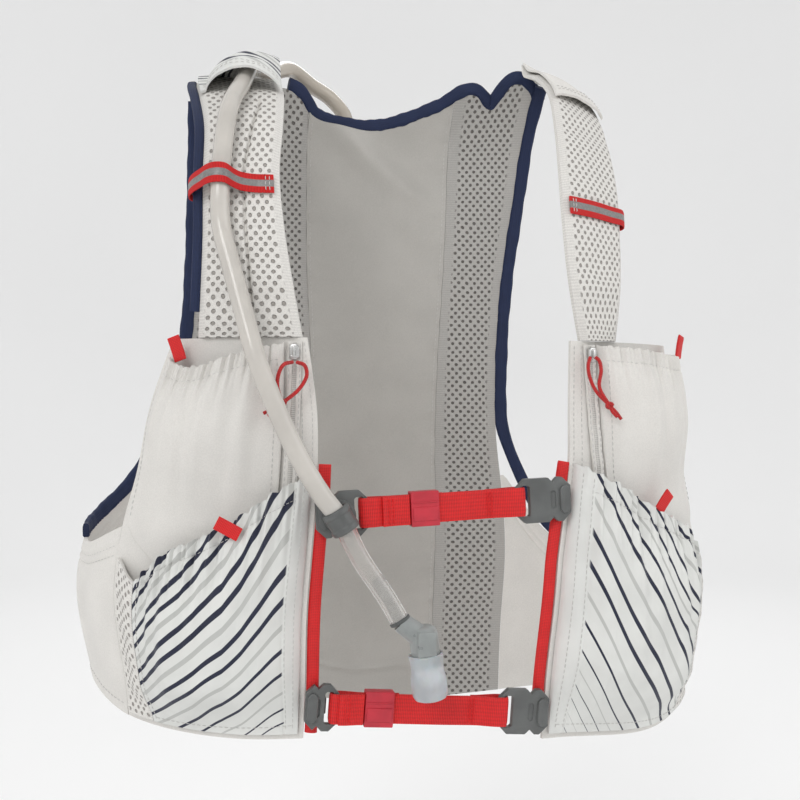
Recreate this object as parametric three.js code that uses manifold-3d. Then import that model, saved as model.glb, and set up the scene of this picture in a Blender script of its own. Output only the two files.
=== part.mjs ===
// Running hydration vest, in millimetres. +X is the image's right, the front faces -Y, +Z is up.
// The origin is the shoulder seat, midway between the two straps at the height of their undersides.
import * as THREE from "three";
import { mergeVertices } from "three/addons/utils/BufferGeometryUtils.js";
import Module from "manifold-3d";

const wasm = await Module();
wasm.setup();

// Main sizes of the torso form
const vestHeight = 392; // shoulder seat to the right front hem
const halfWidth = 184; // form at its widest, below the arms
const frontDepth = 97; // form in front of the shoulder line
const backDepth = 90; // form behind the shoulder line
const shoulderLean = 24; // how far the top of the back leans forward

// Cloth and clearances
const clothThickness = 2;
const pocketThickness = 1.6;
const strapThickness = 4;
const ribbonThickness = 1;
const seamGap = 0.3;
const layerGap = 0.7;

// Pockets, bindings and trim
const upperPocketDepth = 17;
const lowerPocketDepth = 20;
const gussetHeight = 8;
const pouchDepth = 24;
const bindingWidth = 7;
const bindingThickness = 4;
const zipWidth = 7;
const zipThickness = 1.6;
const zipLength = 84;
const zipCordDiameter = 2;
const tabWidth = 7;
const tabLength = 13;
const loopWidth = 10;

// Closure
const railWidth = 6.4;
const railThickness = 4;
const webbingWidth = 15;
const webbingThickness = 1.8;
const barThickness = 2.6;
const buckleThickness = 4.2;
const buckleWall = 3.6;
const keeperLength = 15;

// Drinking hose and valve
const hoseDiameter = 10;
const portDiameter = 15;
const cuffWall = 2;
const cuffLength = 12.5;
const discDiameter = 16.6;
const discThickness = 2.6;
const barrelDiameter = 14.6;
const barrelLength = 20;
const capDiameter = 18;
const capLength = 23;

// The form of the torso: shares of the height, the half width and the two depths
const torsoRows = [
  { down: -0.06, half: 0.88, front: 0.84, back: 0.88 },
  { down: 0.2, half: 0.89, front: 0.88, back: 0.9 },
  { down: 0.44, half: 0.9, front: 0.91, back: 0.9 },
  { down: 0.61, half: 0.935, front: 0.96, back: 0.955 },
  { down: 0.78, half: 1, front: 1, back: 1 },
  { down: 0.92, half: 0.96, front: 0.97, back: 0.99 },
  { down: 1.12, half: 0.92, front: 0.93, back: 0.96 },
];

// Angles run round the form from the front centre, 90 at the image's right side, 180 at the back
// The hem, by angle, and the top edge of the back
const hemRows = [
  { angle: 0, down: 0.985 },
  { angle: 20, down: 0.982 },
  { angle: 50, down: 1 },
  { angle: 90, down: 0.965 },
  { angle: 135, down: 1.015 },
  { angle: 180, down: 1.045 },
  { angle: 225, down: 0.985 },
  { angle: 270, down: 0.915 },
  { angle: 300, down: 0.953 },
  { angle: 325, down: 0.966 },
  { angle: 340, down: 0.962 },
];
const neckRows = [
  { angle: 140, down: 0.038 },
  { angle: 144, down: 0.002 },
  { angle: 148.4, down: -0.008 },
  { angle: 153, down: 0.026 },
  { angle: 158.5, down: 0.006 },
  { angle: 166, down: 0.03 },
  { angle: 180, down: 0.062 },
  { angle: 190, down: 0.06 },
  { angle: 196.4, down: 0.047 },
  { angle: 200, down: 0.02 },
  { angle: 204, down: 0.012 },
  { angle: 228, down: 0.05 },
];

// Edges of the back: the armholes and the mesh strips beside the smooth centre
const backRows = [
  { down: -0.03, meshRight: 162.5, armRight: 141.8, meshLeft: 197, armLeft: 226.6 },
  { down: 0.13, meshRight: 163.1, armRight: 145, meshLeft: 197.2, armLeft: 226.4 },
  { down: 0.31, meshRight: 164.2, armRight: 149.3, meshLeft: 197, armLeft: 227 },
  { down: 0.44, meshRight: 165.5, armRight: 151, meshLeft: 196, armLeft: 228.5 },
  { down: 0.56, meshRight: 166.2, armRight: 151.5, meshLeft: 195.5, armLeft: 231.5 },
  { down: 0.66, meshRight: 166.5, armRight: 151, meshLeft: 195, armLeft: 233 },
  { down: 0.8, meshRight: 167, armRight: 151, meshLeft: 195, armLeft: 233 },
  { down: 1.1, meshRight: 167, armRight: 151, meshLeft: 195, armLeft: 233 },
];

// Edges of the fronts: the opening edge, the outer edge above and below the armhole's foot
const frontRows = [
  { down: 0.42, left: 336.6, leftOut: 309, right: 28.5, rightOut: 65 },
  { down: 0.48, left: 338, leftOut: 304.5, right: 27.8, rightOut: 67.5 },
  { down: 0.54, left: 339.2, leftOut: 301, right: 27, rightOut: 69 },
  { down: 0.61, left: 339.6, leftOut: 299.5, right: 26, rightOut: 69.5 },
  { down: 0.68, left: 339.6, leftOut: 298, right: 23.6, rightOut: 71 },
  { down: 0.75, left: 339.4, leftOut: 298, right: 21.4, rightOut: 71.5 },
  { down: 1.02, left: 336.8, leftOut: 298, right: 19.6, rightOut: 71.5 },
];

// Top edges of the side panels, which are the feet of the armholes
const sideTopLeft = [
  { angle: 234, down: 0.585 },
  { angle: 242, down: 0.65 },
  { angle: 256, down: 0.7 },
  { angle: 268, down: 0.718 },
  { angle: 283, down: 0.722 },
  { angle: 300, down: 0.69 },
];
const sideTopRight = [
  { angle: 62, down: 0.74 },
  { angle: 82, down: 0.8 },
  { angle: 100, down: 0.83 },
  { angle: 125, down: 0.81 },
  { angle: 142, down: 0.745 },
  { angle: 150, down: 0.655 },
];

// Shoulder straps: X as shares of the half width, Y of the front depth, heights of the vest height
const strapLeftRows = [
  { inX: -0.391, inY: -0.845, inDown: 0.37, outX: -0.641, outY: -0.68, outDown: 0.37, tilt: 6 },
  { inX: -0.413, inY: -0.825, inDown: 0.301, outX: -0.636, outY: -0.68, outDown: 0.301, tilt: 10 },
  { inX: -0.424, inY: -0.742, inDown: 0.2245, outX: -0.636, outY: -0.629, outDown: 0.2245, tilt: 22 },
  { inX: -0.408, inY: -0.567, inDown: 0.153, outX: -0.632, outY: -0.474, outDown: 0.153, tilt: 36 },
  { inX: -0.391, inY: -0.278, inDown: 0.092, outX: -0.645, outY: -0.206, outDown: 0.095, tilt: 50 },
  { inX: -0.386, inY: -0.041, inDown: 0.063, outX: -0.655, outY: -0.01, outDown: 0.065, tilt: 63 },
  { inX: -0.38, inY: 0.144, inDown: 0.043, outX: -0.65, outY: 0.144, outDown: 0.048, tilt: 78 },
  { inX: -0.372, inY: 0.36, inDown: 0.03, outX: -0.642, outY: 0.31, outDown: 0.043, tilt: 98 },
];
const strapRightRows = [
  { inX: 0.413, inY: -0.86, inDown: 0.36, outX: 0.612, outY: -0.66, outDown: 0.36, tilt: 6 },
  { inX: 0.397, inY: -0.845, inDown: 0.28, outX: 0.622, outY: -0.6, outDown: 0.286, tilt: 12 },
  { inX: 0.408, inY: -0.722, inDown: 0.204, outX: 0.64, outY: -0.474, outDown: 0.214, tilt: 27 },
  { inX: 0.435, inY: -0.515, inDown: 0.133, outX: 0.662, outY: -0.247, outDown: 0.143, tilt: 40 },
  { inX: 0.467, inY: -0.227, inDown: 0.061, outX: 0.672, outY: -0.02, outDown: 0.082, tilt: 52 },
  { inX: 0.473, inY: 0.052, inDown: 0.016, outX: 0.655, outY: 0.165, outDown: 0.043, tilt: 66 },
  { inX: 0.467, inY: 0.27, inDown: -0.006, outX: 0.615, outY: 0.29, outDown: 0.022, tilt: 88 },
];
const strapFoot = { left: [336.2, 314], right: [30.6, 41] };
const strapHead = { left: [205.5, 226], right: [147.5, 142.6] };
const strapFootDown = 0.44;

// Cords: their points, in millimetres
const hosePoints = [
  [-21, 86, -22.5],
  [-21.6, 86.3, -13],
  [-31, 85, -2],
  [-45, 77, 4],
  [-60, 61.5, 8.8],
  [-72.5, 43, 1.6],
  [-83, 23, -3.5],
  [-89, 3.5, -9.5],
  [-92, -14, -18],
  [-96.5, -33, -30.5],
  [-101, -45.5, -40.5],
  [-104.5, -59.5, -53.5],
  [-107.5, -71.2, -75.5],
  [-109, -77.8, -95.5],
  [-108.5, -80, -116],
  [-104, -85, -135.5],
  [-98, -92, -160],
  [-91.5, -99, -185],
  [-82, -104, -210],
  [-72, -107, -232],
  [-61, -108.5, -251],
  [-51, -109, -264.5],
  [-41, -108.5, -284],
  [-29, -109.5, -302],
  [-21.5, -111, -315],
];
const zipCordLeftPoints = [
  [-72.8, -87.6, -185.7],
  [-77.5, -91, -187],
  [-80.2, -92.8, -191.5],
  [-81, -93.5, -198],
  [-78.5, -94, -206.5],
  [-70, -92.5, -199.5],
  [-66, -91.5, -192.5],
  [-67, -90.5, -187.4],
  [-70.6, -87.6, -185.7],
];
const zipCordRightPoints = [
  [88.4, -84.6, -181.8],
  [86.8, -85.6, -186],
  [87.4, -85.8, -192],
  [91, -86, -200],
  [98.6, -86.6, -208],
  [92.8, -86.6, -198],
  [94, -86, -189],
  [93.2, -85, -183.6],
  [91.4, -84, -181.8],
];

// A column of a table at a value of its key, with smooth slopes between the rows
function read(rows, key, value, column) {
  const last = rows.length - 1;
  let i = 0;
  while (i < last - 1 && value > rows[i + 1][key]) i++;
  const a = rows[i];
  const b = rows[i + 1];
  const span = b[key] - a[key];
  const s = Math.min(1, Math.max(0, (value - a[key]) / span));
  const slope = (row, other) => (other[column] - row[column]) / (other[key] - row[key]);
  const before = i > 0 ? (slope(rows[i - 1], a) + slope(a, b)) / 2 : slope(a, b);
  const after = i + 2 <= last ? (slope(a, b) + slope(b, rows[i + 2])) / 2 : slope(a, b);
  const s2 = s * s;
  const s3 = s2 * s;
  return (
    (2 * s3 - 3 * s2 + 1) * a[column] +
    (s3 - 2 * s2 + s) * span * before +
    (3 * s2 - 2 * s3) * b[column] +
    (s3 - s2) * span * after
  );
}

const mix = (a, b, s) => a + (b - a) * s;
const radians = (degrees) => (degrees * Math.PI) / 180;
const ramp = (from, to, value) => {
  const s = Math.min(1, Math.max(0, (value - from) / (to - from)));
  return s * s * (3 - 2 * s);
};

// A point of the form: angle round it, height z, and how far outside it
function form(angle, z, out = 0) {
  const down = Math.min(1.12, Math.max(-0.06, -z / vestHeight));
  const half = read(torsoRows, "down", down, "half") * halfWidth;
  const side = Math.cos(radians(angle));
  const depth = side > 0
    ? read(torsoRows, "down", down, "front") * frontDepth
    : read(torsoRows, "down", down, "back") * backDepth;
  const normal = new THREE.Vector3(Math.sin(radians(angle)) / half, -side / depth, 0).normalize();
  const lean = shoulderLean * Math.max(0, (0.12 - down) / 0.12) ** 2 * Math.max(0, -side);
  return new THREE.Vector3(half * Math.sin(radians(angle)), -depth * side - lean, z)
    .addScaledVector(normal, out);
}

// Degrees that a length takes round the form at a place
function degreesFor(length, angle, z) {
  return length / form(angle - 0.5, z).distanceTo(form(angle + 0.5, z));
}

const hemZ = (angle) => -vestHeight * read(hemRows, "angle", angle, "down");
const neckZ = (angle) => -vestHeight * read(neckRows, "angle", angle, "down");

// A closed mesh from points and triangles, turned so that its faces point out
function closed(points, triangles) {
  let volume = 0;
  for (const [a, b, c] of triangles)
    volume += points[a].dot(new THREE.Vector3().crossVectors(points[b], points[c]));
  const faces = volume < 0 ? triangles.map(([a, b, c]) => [a, c, b]) : triangles;
  const geometry = new THREE.BufferGeometry();
  const places = points.flatMap((p) => [p.x, p.y, p.z]);
  geometry.setAttribute("position", new THREE.Float32BufferAttribute(places, 3));
  geometry.setIndex(faces.flat());
  geometry.computeVertexNormals();
  return geometry;
}

// A wall between two surfaces that share their grid, closed round its border
function wall(outer, inner, across, along) {
  const points = [];
  const triangles = [];
  const wide = across + 1;
  for (const surface of [outer, inner])
    for (let j = 0; j <= along; j++)
      for (let i = 0; i <= across; i++) points.push(surface(i / across, j / along));
  const back = wide * (along + 1);
  const quad = (a, b, c, d) => triangles.push([a, b, c], [a, c, d]);
  for (let j = 0; j < along; j++)
    for (let i = 0; i < across; i++) {
      const a = j * wide + i;
      quad(a, a + 1, a + 1 + wide, a + wide);
      quad(back + a, back + a + wide, back + a + 1 + wide, back + a + 1);
    }
  for (let i = 0; i < across; i++) {
    const top = along * wide + i;
    quad(i + 1, i, back + i, back + i + 1);
    quad(top, top + 1, back + top + 1, back + top);
  }
  for (let j = 0; j < along; j++) {
    const a = j * wide;
    const b = a + across;
    quad(a, a + wide, back + a + wide, back + a);
    quad(b + wide, b, back + b, back + b + wide);
  }
  return closed(points, triangles);
}

// A patch of cloth on the form: its edges give the angles and heights, its depth the bulge
function patch(place, bulge, thickness, across, along) {
  const surface = (out) => (u, v) => {
    const { angle, z } = place(u, v);
    return form(angle, z, bulge(u, v, angle, z) + out);
  };
  return wall(surface(thickness), surface(0), across, along);
}

// A band between two edges, with its normal leaning by a tilt from the front (0) over the top (90)
function band(rows, thickness, across, along, crown) {
  const at = (v) => {
    const s = v * (rows.length - 1);
    const i = Math.min(rows.length - 2, Math.floor(s));
    const f = s - i;
    const pick = (name) => {
      const p = [i - 1, i, i + 1, i + 2].map((k) => rows[Math.min(rows.length - 1, Math.max(0, k))][name]);
      const point = new THREE.Vector3();
      const weights = [
        -0.5 * f + f * f - 0.5 * f ** 3,
        1 - 2.5 * f * f + 1.5 * f ** 3,
        0.5 * f + 2 * f * f - 1.5 * f ** 3,
        -0.5 * f * f + 0.5 * f ** 3,
      ];
      p.forEach((q, k) => point.addScaledVector(q, weights[k]));
      return point;
    };
    const inner = pick("inner");
    const outer = pick("outer");
    const across = outer.clone().sub(inner).normalize();
    const tilt = radians(mix(rows[i].tilt, rows[i + 1].tilt, f));
    const normal = new THREE.Vector3(0, -Math.cos(tilt), Math.sin(tilt));
    normal.addScaledVector(across, -normal.dot(across)).normalize();
    return { inner, outer, normal };
  };
  const surface = (out) => (u, v) => {
    const { inner, outer, normal } = at(v);
    return inner.lerp(outer, u).addScaledVector(normal, out + crown * 4 * u * (1 - u));
  };
  return { geometry: wall(surface(thickness), surface(0), across, along), surface };
}

// A flat oval bar through a list of centres, each with the direction of its width
function bar(stations, width, thickness, sides) {
  const points = [];
  const triangles = [];
  stations.forEach(({ centre, widthways, depthways }) => {
    for (let k = 0; k < sides; k++) {
      const turn = (2 * Math.PI * (k + 0.5)) / sides;
      points.push(
        centre
          .clone()
          .addScaledVector(widthways, (Math.cos(turn) * width) / 2)
          .addScaledVector(depthways, (Math.sin(turn) * thickness) / 2),
      );
    }
  });
  const last = (stations.length - 1) * sides;
  for (let j = 0; j + 1 < stations.length; j++)
    for (let k = 0; k < sides; k++) {
      const a = j * sides + k;
      const b = j * sides + ((k + 1) % sides);
      triangles.push([a, b, b + sides], [a, b + sides, a + sides]);
    }
  for (let k = 1; k + 1 < sides; k++) triangles.push([0, k + 1, k], [last, last + k, last + k + 1]);
  return closed(points, triangles);
}

// A round cord through its points
function cord(points, diameter, sides, steps, loop = false) {
  const curve = new THREE.CatmullRomCurve3(points.map((p) => new THREE.Vector3(...p)), loop, "centripetal");
  const shape = new THREE.Shape();
  for (let k = 0; k < sides; k++) {
    const turn = (2 * Math.PI * k) / sides;
    const x = (Math.cos(turn) * diameter) / 2;
    const y = (Math.sin(turn) * diameter) / 2;
    if (k) shape.lineTo(x, y);
    else shape.moveTo(x, y);
  }
  shape.closePath();
  return new THREE.ExtrudeGeometry(shape, { steps, extrudePath: curve, bevelEnabled: false });
}

// Solids joined and cut by manifold-3d
function solid(geometry) {
  const bare = geometry.clone();
  bare.deleteAttribute("normal");
  bare.deleteAttribute("uv");
  const merged = mergeVertices(bare, 1e-4);
  return new wasm.Manifold(
    new wasm.Mesh({
      numProp: 3,
      vertProperties: merged.attributes.position.array,
      triVerts: new Uint32Array(merged.index.array),
    }),
  );
}
function geometryOf(manifold) {
  const mesh = manifold.getMesh();
  const geometry = new THREE.BufferGeometry();
  geometry.setAttribute("position", new THREE.BufferAttribute(mesh.vertProperties, 3));
  geometry.setIndex(new THREE.BufferAttribute(mesh.triVerts, 1));
  geometry.computeVertexNormals();
  return geometry;
}

// A rounded rectangle, with corners cut at 45 degrees
function roundedRect(width, height, corner) {
  const shape = new THREE.Shape();
  const x = width / 2;
  const y = height / 2;
  shape.moveTo(-x + corner, -y);
  shape.lineTo(x - corner, -y);
  shape.lineTo(x, -y + corner);
  shape.lineTo(x, y - corner);
  shape.lineTo(x - corner, y);
  shape.lineTo(-x + corner, y);
  shape.lineTo(-x, y - corner);
  shape.lineTo(-x, -y + corner);
  shape.closePath();
  return shape;
}

const finish = {
  cloth: [0xe4e2dd, 0.85, 0],
  back: [0xb4b1ab, 0.7, 0],
  mesh: [0xcfccc5, 0.9, 0],
  navy: [0x26346a, 0.8, 0],
  striped: [0xdcdbd8, 0.85, 0],
  red: [0xd5222a, 0.7, 0],
  keeper: [0xd23a45, 0.5, 0],
  reflective: [0x7c7a79, 0.4, 0],
  plastic: [0x646666, 0.5, 0],
  metal: [0xb8b8b8, 0.3, 0.9],
  hose: [0xc6c0b6, 0.3, 0],
  valve: [0x9a9f9f, 0.35, 0],
  silicone: [0xd8dde4, 0.3, 0],
};
const vest = new THREE.Group();
function add(name, geometry, look) {
  const [color, roughness, metalness] = finish[look];
  const mesh = new THREE.Mesh(geometry, new THREE.MeshStandardMaterial({ color, roughness, metalness }));
  mesh.name = name;
  vest.add(mesh);
  return mesh;
}

// Back: smooth centre and a mesh strip on each side, from the hem to the neck
function backPatch(fromColumn, toColumn, across, along) {
  const place = (u, v) => {
    let z = -vestHeight / 2;
    let angle = 180;
    for (let pass = 0; pass < 4; pass++) {
      const down = -z / vestHeight;
      const from = read(backRows, "down", down, fromColumn) + degreesFor(seamGap / 2, 180, z);
      const to = read(backRows, "down", down, toColumn) - degreesFor(seamGap / 2, 180, z);
      angle = mix(from, to, u);
      z = mix(hemZ(angle), neckZ(angle), v);
    }
    return { angle, z };
  };
  return patch(place, () => 0, clothThickness, across, along);
}
add("back_panel", backPatch("meshRight", "meshLeft", 8, 12), "back");
add("back_mesh_right", backPatch("armRight", "meshRight", 7, 14), "mesh");
add("back_mesh_left", backPatch("meshLeft", "armLeft", 6, 14), "mesh");

// The plain pouch behind the back, sewn at its sides and foot, with an open mouth at the top
const pouchTopDown = 0.09;
const pouchSeamGap = 1.2;
const pouchBottomDown = 1.0;
const pouchMouthShare = 0.5;
const pouchRight = 154;
const pouchLeft = 224;
add(
  "back_compartment",
  patch(
    (u, v) => ({
      angle: mix(pouchRight, pouchLeft, u),
      z: mix(-vestHeight * pouchBottomDown, -vestHeight * pouchTopDown, v),
    }),
    (u, v) => {
      const across = Math.min(1, 2.4 * Math.sin(Math.PI * u));
      const up = ramp(-0.02, 0.2, v) * (1 - 0.3 * v) * (1 - (1 - pouchMouthShare) * ramp(0.75, 1, v));
      return clothThickness + pouchSeamGap + pouchDepth * across * up;
    },
    clothThickness,
    10,
    8,
  ),
  "cloth",
);

// Sides, from the back's edge to the front's, under the armholes
function sidePatch(side, across, along) {
  const left = side === "left";
  const tops = left ? sideTopLeft : sideTopRight;
  const place = (u, v) => {
    let z = -vestHeight * 0.85;
    let angle = 90;
    for (let pass = 0; pass < 5; pass++) {
      const down = -z / vestHeight;
      const gap = degreesFor(seamGap / 2, left ? 300 : 60, z);
      const backEdge = read(backRows, "down", down, left ? "armLeft" : "armRight");
      const frontEdge = read(frontRows, "down", down, left ? "leftOut" : "rightOut");
      angle = left ? mix(backEdge + gap, frontEdge - gap, u) : mix(frontEdge + gap, backEdge - gap, u);
      z = mix(hemZ(angle), -vestHeight * read(tops, "angle", angle, "down"), v);
    }
    return { angle, z };
  };
  return patch(place, () => 0, clothThickness, across, along);
}
add("side_panel_left", sidePatch("left", 9, 6), "cloth");
add("side_panel_right", sidePatch("right", 9, 6), "cloth");

// Fronts
const strapFootZ = -vestHeight * strapFootDown;
const frontTopZ = strapFootZ - seamGap;
function frontPlace(side, from, to) {
  const left = side === "left";
  return (u, v) => {
    let z = -vestHeight * 0.7;
    let angle = 0;
    for (let pass = 0; pass < 4; pass++) {
      const down = -z / vestHeight;
      const gap = degreesFor(seamGap / 2, left ? 300 : 60, z);
      const edge = read(frontRows, "down", down, side);
      const outer = read(frontRows, "down", down, side + "Out") + (left ? gap : -gap);
      angle = mix(mix(edge, outer, from), mix(edge, outer, to), u);
      z = mix(hemZ(angle), frontTopZ, v);
    }
    return { angle, z };
  };
}
for (const side of ["left", "right"])
  add("front_panel_" + side, patch(frontPlace(side, 0, 1), () => 0, clothThickness, 8, 10), "cloth");

// Angles of the pocket seams, on the same rows as the fronts
const upperInnerSeam = { left: 333, right: 34.4 };
const upperSeamInset = 4; // from the front's outer edge to the upper pocket's seam
const upperFootTaper = 24; // how much further in the seam goes behind the lower pocket
const lowerInset = 2.6; // from the opening edge to the lower pocket's seam
const gussetRim = { left: 307, right: 60 };
const gussetFoot = { left: 299.6, right: 69.6 };
const seat = clothThickness + layerGap;

// Upper pockets: the mouth's height by its share across, from the inner seam
const upperMouthRows = [
  { across: 0, left: 0.448, right: 0.447 },
  { across: 0.3, left: 0.462, right: 0.452 },
  { across: 0.65, left: 0.481, right: 0.46 },
  { across: 1, left: 0.466, right: 0.455 },
];
const upperFootDown = 0.77;
const upperBulge = (u, v) => {
  const across = Math.sin(Math.PI * Math.min(1, Math.max(0, u))) ** 0.7;
  const up = 0.22 * ramp(0, 0.3, v) + 0.78 * ramp(0.3, 0.75, v) - 0.15 * ramp(0.8, 1, v);
  return seat + upperPocketDepth * across * up;
};
// Lower pockets: the slanted mouth, with its gathers growing towards it
const lowerMouthRows = [
  { across: 0, left: 0.617, right: 0.61 },
  { across: 0.17, left: 0.64, right: 0.634 },
  { across: 0.35, left: 0.672, right: 0.66 },
  { across: 0.55, left: 0.699, right: 0.684 },
  { across: 0.75, left: 0.72, right: 0.706 },
  { across: 1, left: 0.762, right: 0.744 },
];
const hemMargin = 3;
const gathers = 10;
const gatherDepth = 1.6;
const lowerBulge = (u, v) => {
  const across = Math.min(1, 1.7 * Math.sin(Math.PI * Math.min(1, u * 0.86)) ** 0.75);
  const outerWall = gussetHeight * ramp(0.75, 1, u);
  const up = ramp(-0.02, 0.3, v) * (1 - 0.2 * ramp(0.6, 1, v));
  const ruffle = gatherDepth * ramp(0.55, 1, v) * ramp(0, 0.1, u) * Math.cos(2 * Math.PI * gathers * u);
  const sheet = lowerPocketDepth * across * (1 - ramp(0.7, 1, u));
  return seat + (sheet + outerWall) * up + ruffle * ramp(1, 0.9, u);
};
for (const side of ["left", "right"]) {
  const way = side === "left" ? -1 : 1;
  const upperIn = upperInnerSeam[side];
  const lowerOut = gussetRim[side];
  add(
    "upper_pocket_" + side,
    patch(
      (u, v) => {
        const z = mix(
          -vestHeight * upperFootDown,
          -vestHeight * read(upperMouthRows, "across", u, side),
          v,
        );
        const outer = Math.max(-z / vestHeight, upperMouthRows[0][side]);
        const edge = read(frontRows, "down", Math.min(outer, 0.66), side + "Out");
        const inset = upperSeamInset + upperFootTaper * ramp(0.68, 0.76, -z / vestHeight);
        return { angle: mix(upperIn, edge - way * degreesFor(inset, edge, z), u), z };
      },
      (u, v) => upperBulge(u, v),
      pocketThickness,
      12,
      8,
    ),
    "cloth",
  );
  const lowerPlace = (u, v) => {
    let z = -vestHeight * 0.85;
    let angle = lowerOut;
    for (let pass = 0; pass < 3; pass++) {
      const edge = read(frontRows, "down", -z / vestHeight, side);
      const inner = edge + way * degreesFor(lowerInset, edge, z);
      angle = mix(inner, lowerOut, u);
      z = mix(hemZ(angle) + hemMargin, -vestHeight * read(lowerMouthRows, "across", u, side), v);
    }
    return { angle, z };
  };
  add("lower_pocket_" + side, patch(lowerPlace, lowerBulge, pocketThickness, 20, 8), "striped");
  const foot = gussetFoot[side];
  const rim = lowerOut + way * degreesFor(seamGap, lowerOut, -vestHeight * 0.85);
  add(
    "mesh_gusset_" + side,
    patch(
      (u, v) => {
        const angle = mix(rim, foot, u);
        const top =
          -vestHeight *
          mix(read(lowerMouthRows, "across", 1, side), side === "left" ? 0.735 : 0.815, u);
        return { angle, z: mix(hemZ(angle) + hemMargin, top, v) };
      },
      (u, v) => seat + gussetHeight * ramp(1, 0, u) * ramp(-0.02, 0.3, v) * (1 - 0.2 * ramp(0.6, 1, v)),
      pocketThickness,
      4,
      8,
    ),
    "mesh",
  );
}

// Shoulder straps
function strapRowsFor(side) {
  const table = side === "left" ? strapLeftRows : strapRightRows;
  const rise = side === "left" ? 5 * seamGap : bindingWidth + 5 * seamGap;
  const row = (r) => ({
    inner: new THREE.Vector3(r.inX * halfWidth, r.inY * frontDepth, -r.inDown * vestHeight),
    outer: new THREE.Vector3(r.outX * halfWidth, r.outY * frontDepth, -r.outDown * vestHeight),
    tilt: r.tilt,
  });
  const [footIn, footOut] = strapFoot[side];
  const [headIn, headOut] = strapHead[side];
  const rows = table.map(row);
  rows.unshift({ inner: form(footIn, strapFootZ), outer: form(footOut, strapFootZ), tilt: 0 });
  rows.push({
    inner: form(headIn, neckZ(headIn) + rise),
    outer: form(headOut, neckZ(headOut) + rise),
    tilt: 118,
  });
  return rows;
}
const strapCrown = 1.5;
const straps = {};
for (const side of ["left", "right"]) {
  straps[side] = band(strapRowsFor(side), strapThickness, 4, 20, strapCrown);
  add("shoulder_strap_" + side, straps[side].geometry, "mesh");
}

// A place on a strap: share across, share along and height above its underside
const onStrap = (side, u, v, out) => straps[side].surface(out)(u, v);

// Yokes over the shoulder tops; the left one arches over the hose
const yokeThickness = 1.4;
const yokeSpan = { left: [0.56, 0.905], right: [0.6, 0.975] };
const hoseCover = hoseDiameter + 5 * layerGap;
const archRows = [
  { along: 0, centre: 0.47 },
  { along: 0.4, centre: 0.38 },
  { along: 0.7, centre: 0.22 },
  { along: 1, centre: 0.03 },
];
const archReach = 0.46; // how far across the strap the arch comes down again
for (const side of ["left", "right"]) {
  const [from, to] = yokeSpan[side];
  const arch = (u, v) => {
    if (side === "right") return 0;
    const away = Math.abs(u - read(archRows, "along", v, "centre")) / archReach;
    return hoseCover * Math.cos((Math.PI / 2) * Math.min(1, away)) ** 0.6;
  };
  const surface = (out) => (u, v) => {
    const along = mix(from, to, v);
    return onStrap(side, mix(0.02, 0.98, u), along, strapThickness + layerGap + arch(u, v) + out);
  };
  add(
    "shoulder_yoke_" + side,
    wall(surface(yokeThickness), surface(0), 8, 6),
    side === "left" ? "striped" : "cloth",
  );
}

// Bindings along the bound edges: points on the edge, and which way is off the cloth
function edgeBar(points, angles, sign, width, thickness) {
  const stations = points.map((point, i) => {
    const before = points[Math.max(0, i - 1)];
    const after = points[Math.min(points.length - 1, i + 1)];
    const along = after.clone().sub(before).normalize();
    const depthways = angles[i].clone();
    depthways.addScaledVector(along, -depthways.dot(along)).normalize();
    const widthways = new THREE.Vector3().crossVectors(depthways, along).multiplyScalar(sign);
    const centre = point.clone().addScaledVector(widthways, 3 * seamGap + width / 2);
    return { centre, widthways, depthways };
  });
  return bar(stations, width, thickness, 6);
}
const outward = (angle, z) => form(angle, z, 1).sub(form(angle, z, 0));
function along(count, at) {
  const points = [];
  const normals = [];
  for (let i = 0; i <= count; i++) {
    const { angle, z } = at(i / count);
    points.push(form(angle, z, clothThickness / 2));
    normals.push(outward(angle, z));
  }
  return { points, normals };
}
const neckBindingSpan = [202.6, 142];
const neckLine = along(26, (s) => {
  const angle = mix(...neckBindingSpan, s);
  return { angle, z: neckZ(angle) };
});
add("neck_binding", edgeBar(neckLine.points, neckLine.normals, -1, bindingWidth, bindingThickness), "navy");
const armholes = {
  left: {
    column: "armLeft", tops: sideTopLeft, fromDown: 0.075, toDown: 0.545, from: 238.5, to: 272, sign: 1,
  },
  right: {
    column: "armRight", tops: sideTopRight, fromDown: 0.075, toDown: 0.615, from: 146, to: 98, sign: -1,
  },
};
for (const side of ["left", "right"]) {
  const { column, tops, fromDown, toDown, from, to, sign } = armholes[side];
  const line = along(18, (s) => {
    if (s <= 0.65) {
      const down = mix(fromDown, toDown, s / 0.65);
      return { angle: read(backRows, "down", down, column), z: -vestHeight * down };
    }
    const angle = mix(from, to, (s - 0.65) / 0.35);
    return { angle, z: -vestHeight * read(tops, "angle", angle, "down") };
  });
  add(
    "armhole_binding_" + side,
    edgeBar(line.points, line.normals, sign, bindingWidth, bindingThickness),
    "navy",
  );
}
const strapBindingWidth = 5;
const strapBindingStations = [];
for (let i = 0; i <= 14; i++) {
  const v = mix(0.06, 0.72, i / 14);
  const centre = onStrap("left", 1, v, strapThickness / 2);
  const ahead = onStrap("left", 1, v + 0.01, strapThickness / 2)
    .sub(onStrap("left", 1, v - 0.01, strapThickness / 2));
  const widthways = centre.clone().sub(onStrap("left", 0.9, v, strapThickness / 2));
  ahead.normalize();
  widthways.addScaledVector(ahead, -widthways.dot(ahead)).normalize();
  centre.addScaledVector(widthways, 2 * seamGap + strapBindingWidth / 2);
  const depthways = new THREE.Vector3().crossVectors(widthways, ahead);
  strapBindingStations.push({ centre, widthways, depthways });
}
add("strap_binding_left", bar(strapBindingStations, strapBindingWidth, strapThickness, 6), "navy");

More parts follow.
